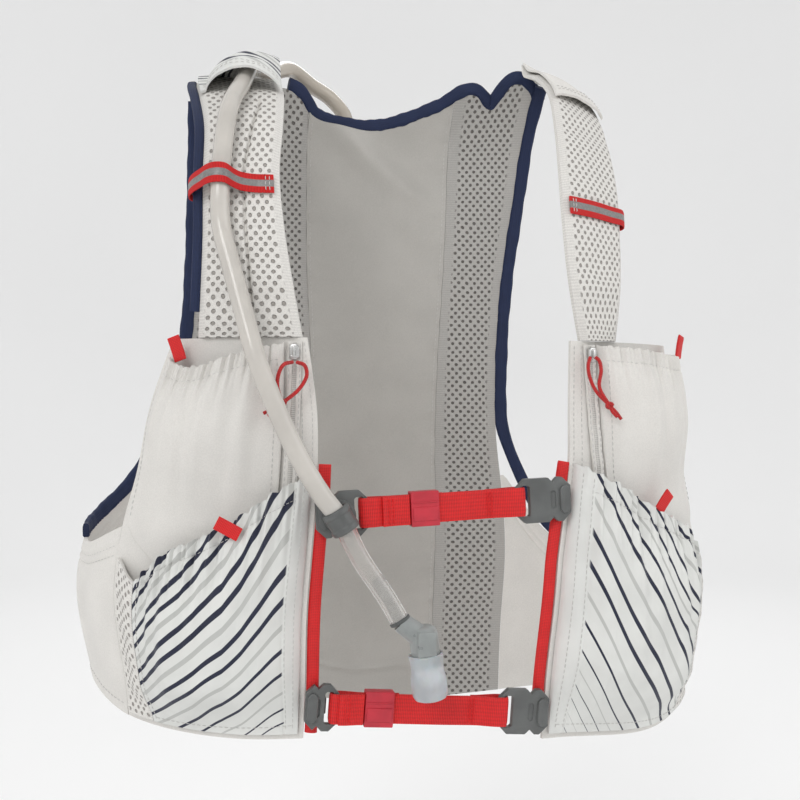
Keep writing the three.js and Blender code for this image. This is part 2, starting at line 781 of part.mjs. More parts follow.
// A ribbon along a path in two coordinates, with its width in the third
function ribbon(path, thickness, width, toWorld) {
  const normals = path.map((p, i) => {
    const a = path[Math.max(0, i - 1)];
    const b = path[Math.min(path.length - 1, i + 1)];
    const length = Math.hypot(b[0] - a[0], b[1] - a[1]);
    return [-(b[1] - a[1]) / length, (b[0] - a[0]) / length];
  });
  const surface = (out) => (u, v) => {
    const i = Math.round(v * (path.length - 1));
    return toWorld(path[i][0] + normals[i][0] * out, path[i][1] + normals[i][1] * out, (u - 0.5) * width);
  };
  return wall(surface(thickness / 2), surface(-thickness / 2), 1, path.length - 1);
}

// Ribbon loops: how far across the strap in shares of its width, and how high above its underside
const edgeAllowance = strapBindingWidth + 2 * seamGap;
const over = strapThickness + layerGap + ribbonThickness / 2;
const under = -layerGap - ribbonThickness / 2;
const hoseTop = strapThickness + 2 * layerGap + hoseDiameter + ribbonThickness / 2;
const loopPaths = {
  left: { v: 0.306, width: 42, edge: edgeAllowance, path: (w, e) => [
    [0.06 * w, over], [0.3 * w, over], [0.46 * w, over + 2], [0.54 * w, 0.66 * hoseTop],
    [0.62 * w, hoseTop],
    [0.74 * w, hoseTop + 1.2], [0.86 * w, 0.98 * hoseTop], [0.96 * w, 0.78 * hoseTop],
    [w + e * 0.75, 0.5 * hoseTop],
    [w + e + 1.5, 4], [w + e + 1.5, 0.5], [w + e * 0.8, under], [0.8 * w, under], [0.5 * w, under],
    [0.06 * w, under],
  ] },
  right: { v: 0.287, width: 42, edge: 0, path: (w) => [
    [0.04 * w, over], [0.25 * w, over], [0.5 * w, over], [0.75 * w, over], [0.97 * w, over + 0.5],
    [w + 2.6, 3.2],
    [w + 2.6, 0.6], [0.97 * w, under], [0.75 * w, under], [0.5 * w, under], [0.25 * w, under],
    [0.04 * w, under],
  ] },
};
for (const side of ["left", "right"]) {
  const { v, edge, path } = loopPaths[side];
  const wide = onStrap(side, 0, v, 0).distanceTo(onStrap(side, 1, v, 0));
  const step = 0.01;
  const rise = onStrap(side, 0.5, v + step, 0).distanceTo(onStrap(side, 0.5, v - step, 0)) / (2 * step);
  const toWorld = (s, h, y) => onStrap(side, s / wide, v + y / rise, h);
  add("strap_loop_" + side, ribbon(path(wide, edge), ribbonThickness, loopWidth, toWorld), "reflective");
}

// Zips between the pocket's inner seam and the front edge
const zipAngles = { left: 334.9, right: 32.6 };
for (const side of ["left", "right"]) {
  const middle = zipAngles[side];
  add(
    "zipper_" + side,
    patch(
      (u, v) => {
        const z = mix(frontTopZ - zipLength, frontTopZ - 2, v);
        return { angle: middle + degreesFor((u - 0.5) * zipWidth, middle, z), z };
      },
      () => seat,
      zipThickness,
      2,
      7,
    ),
    "cloth",
  );
}

// A flat piece on the form: width along the ring, height up, thickness outwards, turned by a roll
function flatOn(angle, z, out, shape, thickness, roll = 0) {
  const geometry = new THREE.ExtrudeGeometry(shape, { depth: thickness, bevelEnabled: false });
  const normal = outward(angle, z);
  const up = new THREE.Vector3(0, 0, 1);
  const across = new THREE.Vector3().crossVectors(up, normal).normalize();
  const basis = new THREE.Matrix4().makeBasis(across, up, normal);
  geometry.applyMatrix4(new THREE.Matrix4().makeRotationZ(radians(roll)));
  geometry.applyMatrix4(basis);
  const at = form(angle, z, out);
  geometry.translate(at.x, at.y, at.z);
  return geometry;
}
const sliderDown = 0.46;
const sliderWidth = 5.4;
const sliderHeight = 8;
const sliderThickness = 3;
for (const side of ["left", "right"])
  add(
    "zip_slider_" + side,
    flatOn(
      zipAngles[side],
      -vestHeight * sliderDown,
      seat + zipThickness + seamGap,
      roundedRect(sliderWidth, sliderHeight, 1.2),
      sliderThickness,
    ),
    "metal",
  );
const knotDiameter = 4.6;
const tails = { left: [-87, -95.5, -213], right: [103.4, -88.5, -215.5] };
const cordPoints = { left: zipCordLeftPoints, right: zipCordRightPoints };
for (const side of ["left", "right"]) {
  const points = cordPoints[side];
  const knotAt = new THREE.Vector3(...points[4]);
  const knot = new THREE.IcosahedronGeometry(knotDiameter / 2, 0).translate(knotAt.x, knotAt.y, knotAt.z);
  const tail = cord([points[4], tails[side]], zipCordDiameter, 8, 1);
  const strands = [points.slice(0, 5), points.slice(4)]
    .map((run) => solid(cord(run, zipCordDiameter, 8, 6)));
  add("zip_cord_" + side, geometryOf(strands[0].add(strands[1]).add(solid(knot)).add(solid(tail))), "red");
}

// Tabs: small folded ribbons at the pocket mouths
const tabThickness = 1.6;
const tabs = [
  { name: "pocket_tab_upper_left", angle: 311, down: 0.455, out: 9.4, roll: 18 },
  { name: "pocket_tab_upper_right", angle: 61.6, down: 0.444, out: 13, roll: -12 },
  { name: "pocket_tab_lower_left", angle: 326.4, down: 0.694, out: 14.6, roll: 70 },
  { name: "pocket_tab_lower_right", angle: 44.5, down: 0.666, out: 16.5, roll: -42 },
];
for (const { name, angle, down, out, roll } of tabs)
  add(
    name,
    flatOn(angle, -vestHeight * down, out, roundedRect(tabWidth, tabLength, 0.8), tabThickness, roll),
    "red",
  );

// Cord rails along the opening edges, with a tab over their upper ends
const railTopDown = 0.643;
const railFootDown = 0.955;
const railTabLength = 14;
const railPoint = (side, z, out = clothThickness / 2) => {
  const edge = read(frontRows, "down", -z / vestHeight, side);
  const beside = degreesFor(2 * seamGap + railWidth / 2, edge, z);
  return form(edge + (side === "left" ? beside : -beside), z, out);
};
for (const side of ["left", "right"]) {
  const stations = [];
  for (let i = 0; i <= 10; i++) {
    const z = -vestHeight * mix(railTopDown, railFootDown, i / 10);
    const centre = railPoint(side, z);
    const ahead = railPoint(side, z - 1).sub(railPoint(side, z + 1)).normalize();
    const depthways = railPoint(side, z, clothThickness).sub(railPoint(side, z, 0)).normalize();
    depthways.addScaledVector(ahead, -depthways.dot(ahead)).normalize();
    const widthways = new THREE.Vector3().crossVectors(depthways, ahead);
    stations.push({ centre, widthways, depthways });
  }
  add("rail_" + side, bar(stations, railWidth, railThickness, 8), "red");
  const tabZ = -vestHeight * railTopDown + railTabLength / 2 + seamGap;
  const edge = read(frontRows, "down", -tabZ / vestHeight, side);
  const beside = degreesFor(2 * seamGap + railWidth / 2, edge, tabZ);
  const angle = edge + (side === "left" ? beside : -beside);
  const lift = railPoint(side, tabZ + 1).sub(railPoint(side, tabZ - 1));
  const acrossWay = form(angle + 0.5, tabZ).sub(form(angle - 0.5, tabZ)).normalize();
  const roll = (-Math.atan2(lift.dot(acrossWay), lift.z) * 180) / Math.PI;
  add(
    "rail_tab_" + side,
    flatOn(angle, tabZ, 0, roundedRect(railWidth, railTabLength, 0.8), railThickness * 0.8, roll),
    "red",
  );
}

// Chest straps: each in its own frame, x from the left rail to the right one, y up, z to the front
const chestStraps = [
  {
    name: "upper", leftDown: 0.671, rightDown: 0.656, leftLong: 27, rightLong: 30,
    leftFold: 62, rightFold: 42, keeperAt: 52, barSlot: 4.6,
  },
  {
    name: "lower", leftDown: 0.918, rightDown: 0.94, leftLong: 17, rightLong: 27,
    leftFold: 44, rightFold: 38, keeperAt: 33.5, barSlot: 4.6,
  },
];
const railHalfDepth = 2.9;
const buckleGap = 0.6;
const slotClear = 0.6;
const keeperWall = 1.2;
const plateBack = railHalfDepth + buckleGap;
const plateMiddle = plateBack + buckleThickness / 2;
const plates = {};
for (const strap of chestStraps) {
  const start = railPoint("left", -vestHeight * strap.leftDown);
  const end = railPoint("right", -vestHeight * strap.rightDown);
  const span = end.distanceTo(start);
  const x = end.clone().sub(start).normalize();
  const z = new THREE.Vector3().crossVectors(x, new THREE.Vector3(0, 0, 1)).normalize();
  const y = new THREE.Vector3().crossVectors(z, x);
  const frame = new THREE.Matrix4().makeBasis(x, y, z).setPosition(start);
  plates[strap.name] = { frame, strap, span };
  const rail = { left: 0, right: span };
  const tall = webbingWidth + 2 * slotClear + 2 * buckleWall;
  const hookHeight = 8;
  const lip = 1.8;
  for (const side of ["left", "right"]) {
    const long = side === "left" ? strap.leftLong : strap.rightLong;
    const way = side === "left" ? 1 : -1;
    const middle = rail[side] + way * (long / 2 - railWidth / 2 - 1);
    const shape = roundedRect(long, tall, 3);
    const slotMiddle = way * (long / 2 - barThickness - strap.barSlot / 2);
    const slot = roundedRect(strap.barSlot, webbingWidth + 2 * slotClear, 0.6);
    const hole = new THREE.Path(slot.getPoints().map((p) => new THREE.Vector2(p.x + slotMiddle, p.y)));
    shape.holes.push(hole);
    const plate = new THREE.ExtrudeGeometry(shape, { depth: buckleThickness, bevelEnabled: false });
    plate.translate(middle, 0, plateBack);
    const reach = railWidth / 2 + 3 * buckleGap;
    const wallPiece = new THREE.BoxGeometry(lip, hookHeight, plateBack * 2 + lip + 0.2);
    wallPiece.translate(rail[side] + way * (reach + lip / 2), 0, 0.1 - lip / 2);
    const back = new THREE.BoxGeometry(4.2, hookHeight, lip);
    back.translate(rail[side] + way * (reach + lip - 2.1), 0, -plateBack - lip / 2);
    const made = solid(plate).add(solid(wallPiece)).add(solid(back));
    const buckle = geometryOf(made);
    buckle.applyMatrix4(frame);
    add(strap.name + "_buckle_" + side, buckle, "plastic");
  }
  const half = webbingThickness / 2;
  const leftBar = strap.leftLong - railWidth / 2 - 1 - barThickness / 2;
  const rightBar = span - (strap.rightLong - railWidth / 2 - 1 - barThickness / 2);
  const frontAt = plateBack + buckleThickness + slotClear + half;
  const backAt = plateBack - slotClear - half;
  const loopFrom = leftBar - barThickness / 2 - slotClear - webbingThickness - seamGap;
  Object.assign(plates[strap.name], { loopFrom, loopTop: frontAt + half + seamGap });
  const ply = half + seamGap / 2 + 0.1;
  const turn = barThickness / 2 + slotClear + half;
  const lead = 7;
  const path = [
    [strap.leftFold, plateMiddle - ply],
    [leftBar + lead * 1.9, plateMiddle - ply],
    [leftBar + lead, mix(plateMiddle, backAt, 0.75)],
    [leftBar + 2.5, backAt],
    [leftBar - turn * 0.7, backAt + 0.5],
    [leftBar - turn, backAt + 2.2],
    [leftBar - turn, frontAt - 2.2],
    [leftBar - turn * 0.7, frontAt - 0.5],
    [leftBar + 2.5, frontAt],
    [leftBar + lead, mix(plateMiddle, frontAt, 0.75)],
    [leftBar + lead * 1.9, plateMiddle + ply],
    [mix(leftBar, rightBar, 0.4), plateMiddle + ply],
    [mix(leftBar, rightBar, 0.6), plateMiddle + ply],
    [rightBar - lead * 1.9, plateMiddle + ply],
    [rightBar - lead, mix(plateMiddle, frontAt, 0.75)],
    [rightBar - 2.5, frontAt],
    [rightBar + turn * 0.7, frontAt - 0.5],
    [rightBar + turn, frontAt - 2.2],
    [rightBar + turn, backAt + 2.2],
    [rightBar + turn * 0.7, backAt + 0.5],
    [rightBar - 2.5, backAt],
    [rightBar - lead, mix(plateMiddle, backAt, 0.75)],
    [rightBar - lead * 1.9, plateMiddle - ply],
    [span - strap.rightFold, plateMiddle - ply],
  ];
  const webbing = ribbon(
    path,
    webbingThickness,
    webbingWidth,
    (a, b, c) => new THREE.Vector3(a, c, b).applyMatrix4(frame),
  );
  add(strap.name + "_strap", webbing, "red");
  const holeDeep = 2 * (ply + half) + 2 * seamGap;
  const holeTall = webbingWidth + 2 * seamGap;
  const keeperShape = roundedRect(holeDeep + 2 * keeperWall, holeTall + 2 * keeperWall, 0.8);
  keeperShape.holes.push(new THREE.Path(roundedRect(holeDeep, holeTall, 0.2).getPoints()));
  const keeper = new THREE.ExtrudeGeometry(keeperShape, { depth: keeperLength, bevelEnabled: false });
  keeper.translate(0, 0, -keeperLength / 2);
  keeper.applyMatrix4(new THREE.Matrix4().makeRotationY(Math.PI / 2));
  keeper.translate(strap.keeperAt, 0, plateMiddle);
  keeper.applyMatrix4(frame);
  add(strap.name + "_keeper", keeper, "keeper");
}

// Drinking hose with its port, clip and valve
const hoseSteps = 26;
add("hose", cord(hosePoints, hoseDiameter, 8, hoseSteps), "hose");
const portGap = 0.4;
const portLength = hosePoints[0][2] - portGap - (seamGap - vestHeight * pouchTopDown);
const port = new THREE.CylinderGeometry(portDiameter / 2, portDiameter / 2, portLength, 12);
port.applyMatrix4(new THREE.Matrix4().makeRotationX(Math.PI / 2));
port.translate(hosePoints[0][0], hosePoints[0][1], hosePoints[0][2] - portGap - portLength / 2);
add("hose_port", port, "plastic");

// A piece turned so that its own Z follows a direction, then moved to a point
function aimed(geometry, direction, at) {
  const turn = new THREE.Quaternion().setFromUnitVectors(
    new THREE.Vector3(0, 0, 1),
    direction.clone().normalize(),
  );
  return geometry.applyQuaternion(turn).translate(at.x, at.y, at.z);
}
const rod = (diameter, length, sides) =>
  new THREE.CylinderGeometry(diameter / 2, diameter / 2, length, sides)
    .applyMatrix4(new THREE.Matrix4().makeRotationX(Math.PI / 2));
const clipIndex = 21;
const clipAt = new THREE.Vector3(...hosePoints[clipIndex]);
const clipWay = new THREE.Vector3(...hosePoints[clipIndex + 1])
  .sub(new THREE.Vector3(...hosePoints[clipIndex - 1]))
  .normalize();
{
  const { frame, span, loopFrom, loopTop } = plates.upper;
  const inverse = frame.clone().invert();
  const local = clipAt.clone().applyMatrix4(inverse);
  const face = plateBack + buckleThickness + 0.4;
  const frontWay = new THREE.Vector3().setFromMatrixColumn(frame, 2);
  const discAt = new THREE.Vector3(local.x + 1, local.y + 1, face + discThickness / 2).applyMatrix4(frame);
  const disc = aimed(rod(discDiameter, discThickness, 16), frontWay, discAt);
  const cuffOuter = hoseDiameter + 2 * cuffWall + 0.8;
  const stemLong = local.z - face - hoseDiameter / 2;
  const stemAt = new THREE.Vector3(local.x, local.y, face + stemLong / 2).applyMatrix4(frame);
  const stem = aimed(new THREE.BoxGeometry(8, 8, Math.max(1, stemLong)), frontWay, stemAt);
  const cuff = aimed(rod(cuffOuter, cuffLength, 12), clipWay, clipAt);
  const bore = aimed(rod(hoseDiameter + 1.4, cuffLength * 3, 12), clipWay, clipAt);
  const relief = new THREE.BoxGeometry(span, webbingWidth + 2 * slotClear, loopTop);
  relief.translate(loopFrom + span / 2, 0, loopTop / 2).applyMatrix4(frame);
  const clip = solid(disc).add(solid(stem)).add(solid(cuff)).subtract(solid(bore)).subtract(solid(relief));
  add("hose_clip", geometryOf(clip), "plastic");
}
const hoseEnd = new THREE.Vector3(...hosePoints[hosePoints.length - 1]);
const hoseWay = hoseEnd.clone().sub(new THREE.Vector3(...hosePoints[hosePoints.length - 2])).normalize();
const barrelAt = new THREE.Vector3(-9.5, -112.5, -327);
const barrelWay = new THREE.Vector3(0.12, 0, -1).normalize();
{
  const barrel = aimed(rod(barrelDiameter, barrelLength, 14), barrelWay, barrelAt);
  const sleeveTo = barrelAt.clone().addScaledVector(barrelWay, -3);
  const sleeveFrom = hoseEnd.clone().addScaledVector(hoseWay, seamGap);
  const sleeveWay = sleeveTo.clone().sub(sleeveFrom);
  const sleeve = aimed(
    rod(hoseDiameter * 0.95, sleeveWay.length(), 12),
    sleeveWay,
    sleeveFrom.clone().addScaledVector(sleeveWay, 0.5),
  );
  const cut = aimed(
    new THREE.BoxGeometry(30, 30, 12),
    hoseWay,
    hoseEnd.clone().addScaledVector(hoseWay, seamGap - 6),
  );
  add("valve_elbow", geometryOf(solid(sleeve).subtract(solid(cut)).add(solid(barrel))), "valve");
}
const capSocket = 6;
const capWall = 1.2;
{
  const socketRadius = barrelDiameter / 2 + seamGap;
  const profile = [
    [0, 0], [capDiameter * 0.42, 0], [capDiameter * 0.46, 2], [capDiameter / 2, capLength * 0.55],
    [socketRadius + capWall, capLength], [socketRadius, capLength],
    [socketRadius, capLength - capSocket], [0, capLength - capSocket],
  ].map(([r, h]) => new THREE.Vector2(r, h));
  const cap = new THREE.LatheGeometry(profile, 16)
    .applyMatrix4(new THREE.Matrix4().makeRotationX(Math.PI / 2));
  const base = barrelAt.clone()
    .addScaledVector(barrelWay, barrelLength / 2 + seamGap + capLength - capSocket);
  add("valve_cap", aimed(cap, barrelWay.clone().negate(), base), "silicone");
}

export default vest;
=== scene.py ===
# Running hydration vest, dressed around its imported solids. Metres, +X the image's right, front at -Y, +Z up.
import math

import bmesh
import bpy
import numpy as np
from bpy.props import FloatProperty, FloatVectorProperty, IntProperty, PointerProperty
from mathutils import Matrix, Vector


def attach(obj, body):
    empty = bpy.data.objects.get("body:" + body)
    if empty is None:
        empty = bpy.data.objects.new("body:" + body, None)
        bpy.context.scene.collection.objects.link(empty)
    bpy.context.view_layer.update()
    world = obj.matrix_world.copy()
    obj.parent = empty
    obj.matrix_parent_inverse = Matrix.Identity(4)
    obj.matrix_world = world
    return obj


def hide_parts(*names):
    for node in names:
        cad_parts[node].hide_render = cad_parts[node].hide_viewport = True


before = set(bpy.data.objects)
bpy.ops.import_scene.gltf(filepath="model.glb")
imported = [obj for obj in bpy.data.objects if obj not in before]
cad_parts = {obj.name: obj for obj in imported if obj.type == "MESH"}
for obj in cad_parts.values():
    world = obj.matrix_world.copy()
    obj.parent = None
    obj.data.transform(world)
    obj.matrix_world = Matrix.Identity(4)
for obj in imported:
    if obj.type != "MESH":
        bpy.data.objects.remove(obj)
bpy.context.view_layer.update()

bl_info = {
    "name": "Running hydration vest",
    "version": (1, 0, 0),
    "blender": (4, 5, 0),
    "location": "3D View > Sidebar > Vest",
    "description": "Makes a running vest with gathered pockets, chest straps and a drinking hose",
    "category": "Object",
}

MM = 0.001
BODY = "root"


def table(columns, *rows):
    """Rows with named columns"""
    names = columns.split()
    return [dict(zip(names, row)) for row in rows]


# The form of the torso: shares of the height, the half width and the two depths
TORSO = table(
    "down half front back",
    (-0.06, 0.88, 0.84, 0.88),
    (0.2, 0.89, 0.88, 0.9),
    (0.44, 0.9, 0.91, 0.9),
    (0.61, 0.935, 0.96, 0.955),
    (0.78, 1, 1, 1),
    (0.92, 0.96, 0.97, 0.99),
    (1.12, 0.92, 0.93, 0.96),
)
# Angles run round the form from the front centre, 90 at the image's right side, 180 at the back
HEM = table(
    "angle down",
    (0, 0.985), (20, 0.982), (50, 1), (90, 0.965), (135, 1.015), (180, 1.045),
    (225, 0.985), (270, 0.915), (300, 0.953), (325, 0.966), (340, 0.962),
)
NECK = table(
    "angle down",
    (140, 0.038), (144, 0.002), (148.4, -0.008), (153, 0.026), (158.5, 0.006), (166, 0.03),
    (180, 0.062), (190, 0.06), (196.4, 0.047), (200, 0.02), (204, 0.012), (228, 0.05),
)
# Edges of the back: the armholes and the mesh strips beside the smooth centre
BACK = table(
    "down mesh_right arm_right mesh_left arm_left",
    (-0.03, 162.5, 141.8, 197, 226.6),
    (0.13, 163.1, 145, 197.2, 226.4),
    (0.31, 164.2, 149.3, 197, 227),
    (0.44, 165.5, 151, 196, 228.5),
    (0.56, 166.2, 151.5, 195.5, 231.5),
    (0.66, 166.5, 151, 195, 233),
    (0.8, 167, 151, 195, 233),
    (1.1, 167, 151, 195, 233),
)
# Edges of the fronts: the opening edge, and the outer edge beside the side panel
FRONT = table(
    "down left left_out right right_out",
    (0.42, 336.6, 309, 28.5, 65),
    (0.48, 338, 304.5, 27.8, 67.5),
    (0.54, 339.2, 301, 27, 69),
    (0.61, 339.6, 299.5, 26, 69.5),
    (0.68, 339.6, 298, 23.6, 71),
    (0.75, 339.4, 298, 21.4, 71.5),
    (1.02, 336.8, 298, 19.6, 71.5),
)
# Top edges of the side panels, which are the feet of the armholes
SIDE_TOP = {
    "left": table(
        "angle down", (234, 0.585), (242, 0.65), (256, 0.7), (268, 0.718), (283, 0.722), (300, 0.69)
    ),
    "right": table(
        "angle down", (62, 0.74), (82, 0.8), (100, 0.83), (125, 0.81), (142, 0.745), (150, 0.655)
    ),
}
# Shoulder straps: X as shares of the half width, Y of the front depth, heights of the vest height
STRAP = {
    "left": table(
        "in_x in_y in_down out_x out_y out_down tilt",
        (-0.391, -0.845, 0.37, -0.641, -0.68, 0.37, 6),
        (-0.413, -0.825, 0.301, -0.636, -0.68, 0.301, 10),
        (-0.424, -0.742, 0.2245, -0.636, -0.629, 0.2245, 22),
        (-0.408, -0.567, 0.153, -0.632, -0.474, 0.153, 36),
        (-0.391, -0.278, 0.092, -0.645, -0.206, 0.095, 50),
        (-0.386, -0.041, 0.063, -0.655, -0.01, 0.065, 63),
        (-0.38, 0.144, 0.043, -0.65, 0.144, 0.048, 78),
        (-0.372, 0.36, 0.03, -0.642, 0.31, 0.043, 98),
    ),
    "right": table(
        "in_x in_y in_down out_x out_y out_down tilt",
        (0.413, -0.86, 0.36, 0.612, -0.66, 0.36, 6),
        (0.397, -0.845, 0.28, 0.622, -0.6, 0.286, 12),
        (0.408, -0.722, 0.204, 0.64, -0.474, 0.214, 27),
        (0.435, -0.515, 0.133, 0.662, -0.247, 0.143, 40),
        (0.467, -0.227, 0.061, 0.672, -0.02, 0.082, 52),
        (0.473, 0.052, 0.016, 0.655, 0.165, 0.043, 66),
        (0.467, 0.27, -0.006, 0.615, 0.29, 0.022, 88),
    ),
}
STRAP_FOOT = {"left": (336.2, 314), "right": (30.6, 41)}
STRAP_HEAD = {"left": (205.5, 226), "right": (147.5, 142.6)}
STRAP_FOOT_DOWN = 0.44
# Pocket mouths: height by the share across, from the inner seam
UPPER_MOUTH = table(
    "across left right", (0, 0.448, 0.447), (0.3, 0.462, 0.452), (0.65, 0.481, 0.46), (1, 0.466, 0.455)
)
LOWER_MOUTH = table(
    "across left right",
    (0, 0.617, 0.61), (0.17, 0.64, 0.634), (0.35, 0.672, 0.66), (0.55, 0.699, 0.684),
    (0.75, 0.72, 0.706), (1, 0.762, 0.744),
)
# The arch of the striped yoke over the hose, as shares along and across the strap
ARCH = table("along centre", (0, 0.47), (0.4, 0.38), (0.7, 0.22), (1, 0.03))
ARCH_REACH = 0.46

# Routes of the cords, in metres
HOSE = [
    (-0.021, 0.086, -0.0225), (-0.0216, 0.0863, -0.013), (-0.031, 0.085, -0.002), (-0.045, 0.077, 0.004),
    (-0.06, 0.0615, 0.0088), (-0.0725, 0.043, 0.0016), (-0.083, 0.023, -0.0035), (-0.089, 0.0035, -0.0095),
    (-0.092, -0.014, -0.018), (-0.0965, -0.033, -0.0305), (-0.101, -0.0455, -0.0405),
    (-0.1045, -0.0595, -0.0535), (-0.1075, -0.0712, -0.0755), (-0.109, -0.0778, -0.0955),
    (-0.1085, -0.08, -0.116), (-0.104, -0.085, -0.1355), (-0.098, -0.092, -0.16), (-0.0915, -0.099, -0.185),
    (-0.082, -0.104, -0.21), (-0.072, -0.107, -0.232), (-0.061, -0.1085, -0.251), (-0.051, -0.109, -0.2645),
    (-0.041, -0.1085, -0.284), (-0.029, -0.1095, -0.302), (-0.0215, -0.111, -0.315),
]
CLIP_INDEX = 21
ZIP_CORD = {
    "left": [
        (-0.0728, -0.0876, -0.1857), (-0.0775, -0.091, -0.187), (-0.0802, -0.0928, -0.1915),
        (-0.081, -0.0935, -0.198), (-0.0785, -0.094, -0.2065), (-0.07, -0.0925, -0.1995),
        (-0.066, -0.0915, -0.1925), (-0.067, -0.0905, -0.1874), (-0.0706, -0.0876, -0.1857),
    ],
    "right": [
        (0.0884, -0.0846, -0.1818), (0.0868, -0.0856, -0.186), (0.0874, -0.0858, -0.192),
        (0.091, -0.086, -0.2), (0.0986, -0.0866, -0.208), (0.0928, -0.0866, -0.198),
        (0.094, -0.086, -0.189), (0.0932, -0.085, -0.1836), (0.0914, -0.084, -0.1818),
    ],
}
ZIP_TAIL = {"left": (-0.087, -0.0955, -0.213), "right": (0.1034, -0.0885, -0.2155)}
BARREL_AT = Vector((-0.0095, -0.1125, -0.327))
BARREL_WAY = Vector((0.12, 0, -1)).normalized()


class VestSizes(bpy.types.PropertyGroup):
    """Sizes of the vest"""

    vest_height: FloatProperty(
        name="Height", description="From the shoulder seat to the right front hem", default=0.392, unit="LENGTH"
    )
    half_width: FloatProperty(
        name="Half width", description="Of the torso form at its widest", default=0.184, unit="LENGTH"
    )
    front_depth: FloatProperty(
        name="Front depth", description="Of the form before the shoulder line", default=0.097, unit="LENGTH"
    )
    back_depth: FloatProperty(
        name="Back depth", description="Of the form behind the shoulder line", default=0.09, unit="LENGTH"
    )
    shoulder_lean: FloatProperty(
        name="Shoulder lean", description="How far the top of the back leans forward", default=0.024, unit="LENGTH"
    )
    cloth: FloatProperty(name="Cloth", description="Thickness of a cloth wall", default=0.002, unit="LENGTH")
    pocket_cloth: FloatProperty(
        name="Pocket cloth", description="Thickness of a pocket's wall", default=0.0016, unit="LENGTH"
    )
    strap_pad: FloatProperty(
        name="Strap pad", description="Thickness of the shoulder straps", default=0.004, unit="LENGTH"
    )
    hole_pitch: FloatProperty(
        name="Hole pitch", description="Between the holes of the spacer mesh", default=0.0054, unit="LENGTH"
    )
    gather: FloatProperty(
        name="Gather", description="Height of the ruffles at the pocket mouths", default=0.0014, unit="LENGTH"
    )
    binding_width: FloatProperty(
        name="Binding", description="Width of the bound edges", default=0.007, unit="LENGTH"
    )
    webbing_width: FloatProperty(
        name="Webbing", description="Width of the chest straps", default=0.015, unit="LENGTH"
    )
    webbing: FloatProperty(
        name="Webbing thickness", description="Of one ply of the chest straps", default=0.0018, unit="LENGTH"
    )
    hose: FloatProperty(name="Hose", description="Outer diameter of the hose", default=0.01, unit="LENGTH")
    stitch: FloatProperty(name="Stitch", description="Length of one stitch", default=0.0021, unit="LENGTH")
    stripe_step: IntProperty(
        name="Stripe cycle", description="Lines in one cycle, of which the last is grey", default=3, min=2
    )


def colour(name, description, value):
    """A colour property with its default"""
    return FloatVectorProperty(
        name=name, description=description, default=value, size=3, subtype="COLOR", min=0, max=1
    )


class VestColours(bpy.types.PropertyGroup):
    """Colours of the vest"""

    cloth: colour("Cloth", "The plain stretch cloth", (0.72, 0.7, 0.665))
    back: colour("Back cloth", "The smooth cloth of the back", (0.47, 0.455, 0.425))
    mesh: colour("Mesh", "The spacer mesh", (0.74, 0.72, 0.685))
    # Painted shade: this dark colour fills the mesh's holes. It stands for the shade inside them, over the inner
    # layer's own colour.
    hole: colour("Mesh hole", "The inside of the mesh's holes", (0.33, 0.31, 0.285))
    striped: colour("Pocket cloth", "The ground of the striped cloth", (0.71, 0.715, 0.69))
    navy: colour("Navy", "The bound edges", (0.006, 0.016, 0.062))
    stripe: colour("Stripe", "The dark printed stripes", (0.016, 0.019, 0.043))
    pale_stripe: colour("Pale stripe", "The grey printed stripes", (0.5, 0.505, 0.485))
    red: colour("Red", "The webbing, tabs and cords", (0.66, 0.006, 0.007))
    keeper: colour("Keeper", "The rubber keepers", (0.5, 0.022, 0.04))
    reflective: colour("Reflective", "The middle of the ribbon loops", (0.2, 0.195, 0.19))
    plastic: colour("Plastic", "The buckles", (0.105, 0.11, 0.108))
    hose: colour("Hose", "The upper hose", (0.7, 0.665, 0.615))
    clear_hose: colour("Clear hose", "The lower hose", (0.82, 0.8, 0.77))
    valve: colour("Valve", "The valve's barrel", (0.29, 0.31, 0.305))
    cap: colour("Cap", "The silicone cap", (0.62, 0.645, 0.67))
    thread: colour("Thread", "The seams", (0.6, 0.59, 0.57))


class VestStage(bpy.types.PropertyGroup):
    """The stage round the vest"""

    floor_drop: FloatProperty(
        name="Floor", description="Of the floor below the shoulder seat", default=0.62, unit="LENGTH"
    )
    light: FloatProperty(name="Light", description="Power of the key light", default=14.5, unit="POWER")
    floor: colour("Floor", "The pale floor", (0.92, 0.92, 0.92))


def sizes():
    """The sizes that the sidebar shows"""
    return bpy.context.scene.vest_sizes


def colours():
    """The colours that the sidebar shows"""
    return bpy.context.scene.vest_colours


def read(rows, key, value, column):
    """A column of a table at values of its key, with smooth slopes between the rows"""
    x = np.array([row[key] for row in rows], float)
    y = np.array([row[column] for row in rows], float)
    value = np.asarray(value, float)
    slope = np.diff(y) / np.diff(x)
    last = len(x) - 1
    i = np.clip(np.searchsorted(x[1:-1], value, side="left"), 0, last - 1)
    span = x[i + 1] - x[i]
    s = np.clip((value - x[i]) / span, 0, 1)
    before = np.where(i > 0, (slope[np.maximum(i - 1, 0)] + slope[i]) / 2, slope[i])
    after = np.where(i + 2 <= last, (slope[i] + slope[np.minimum(i + 1, last - 1)]) / 2, slope[i])
    s2, s3 = s * s, s * s * s
    return (
        (2 * s3 - 3 * s2 + 1) * y[i]
        + (s3 - 2 * s2 + s) * span * before
        + (3 * s2 - 2 * s3) * y[i + 1]
        + (s3 - s2) * span * after
    )


def mix(a, b, share):
    """A value between two others"""
    return a + (b - a) * share


def ramp(low, high, value):
    """A smooth step from 0 at low to 1 at high"""
    s = np.clip((np.asarray(value, float) - low) / (high - low), 0, 1)
    return s * s * (3 - 2 * s)


def bump_at(centre, width, value):
    """A smooth hill of height 1"""
    return np.exp(-(((np.asarray(value, float) - centre) / width) ** 2))


def unit(vectors):
    """Vectors made one long"""
    return vectors / np.maximum(np.linalg.norm(vectors, axis=-1, keepdims=True), 1e-12)


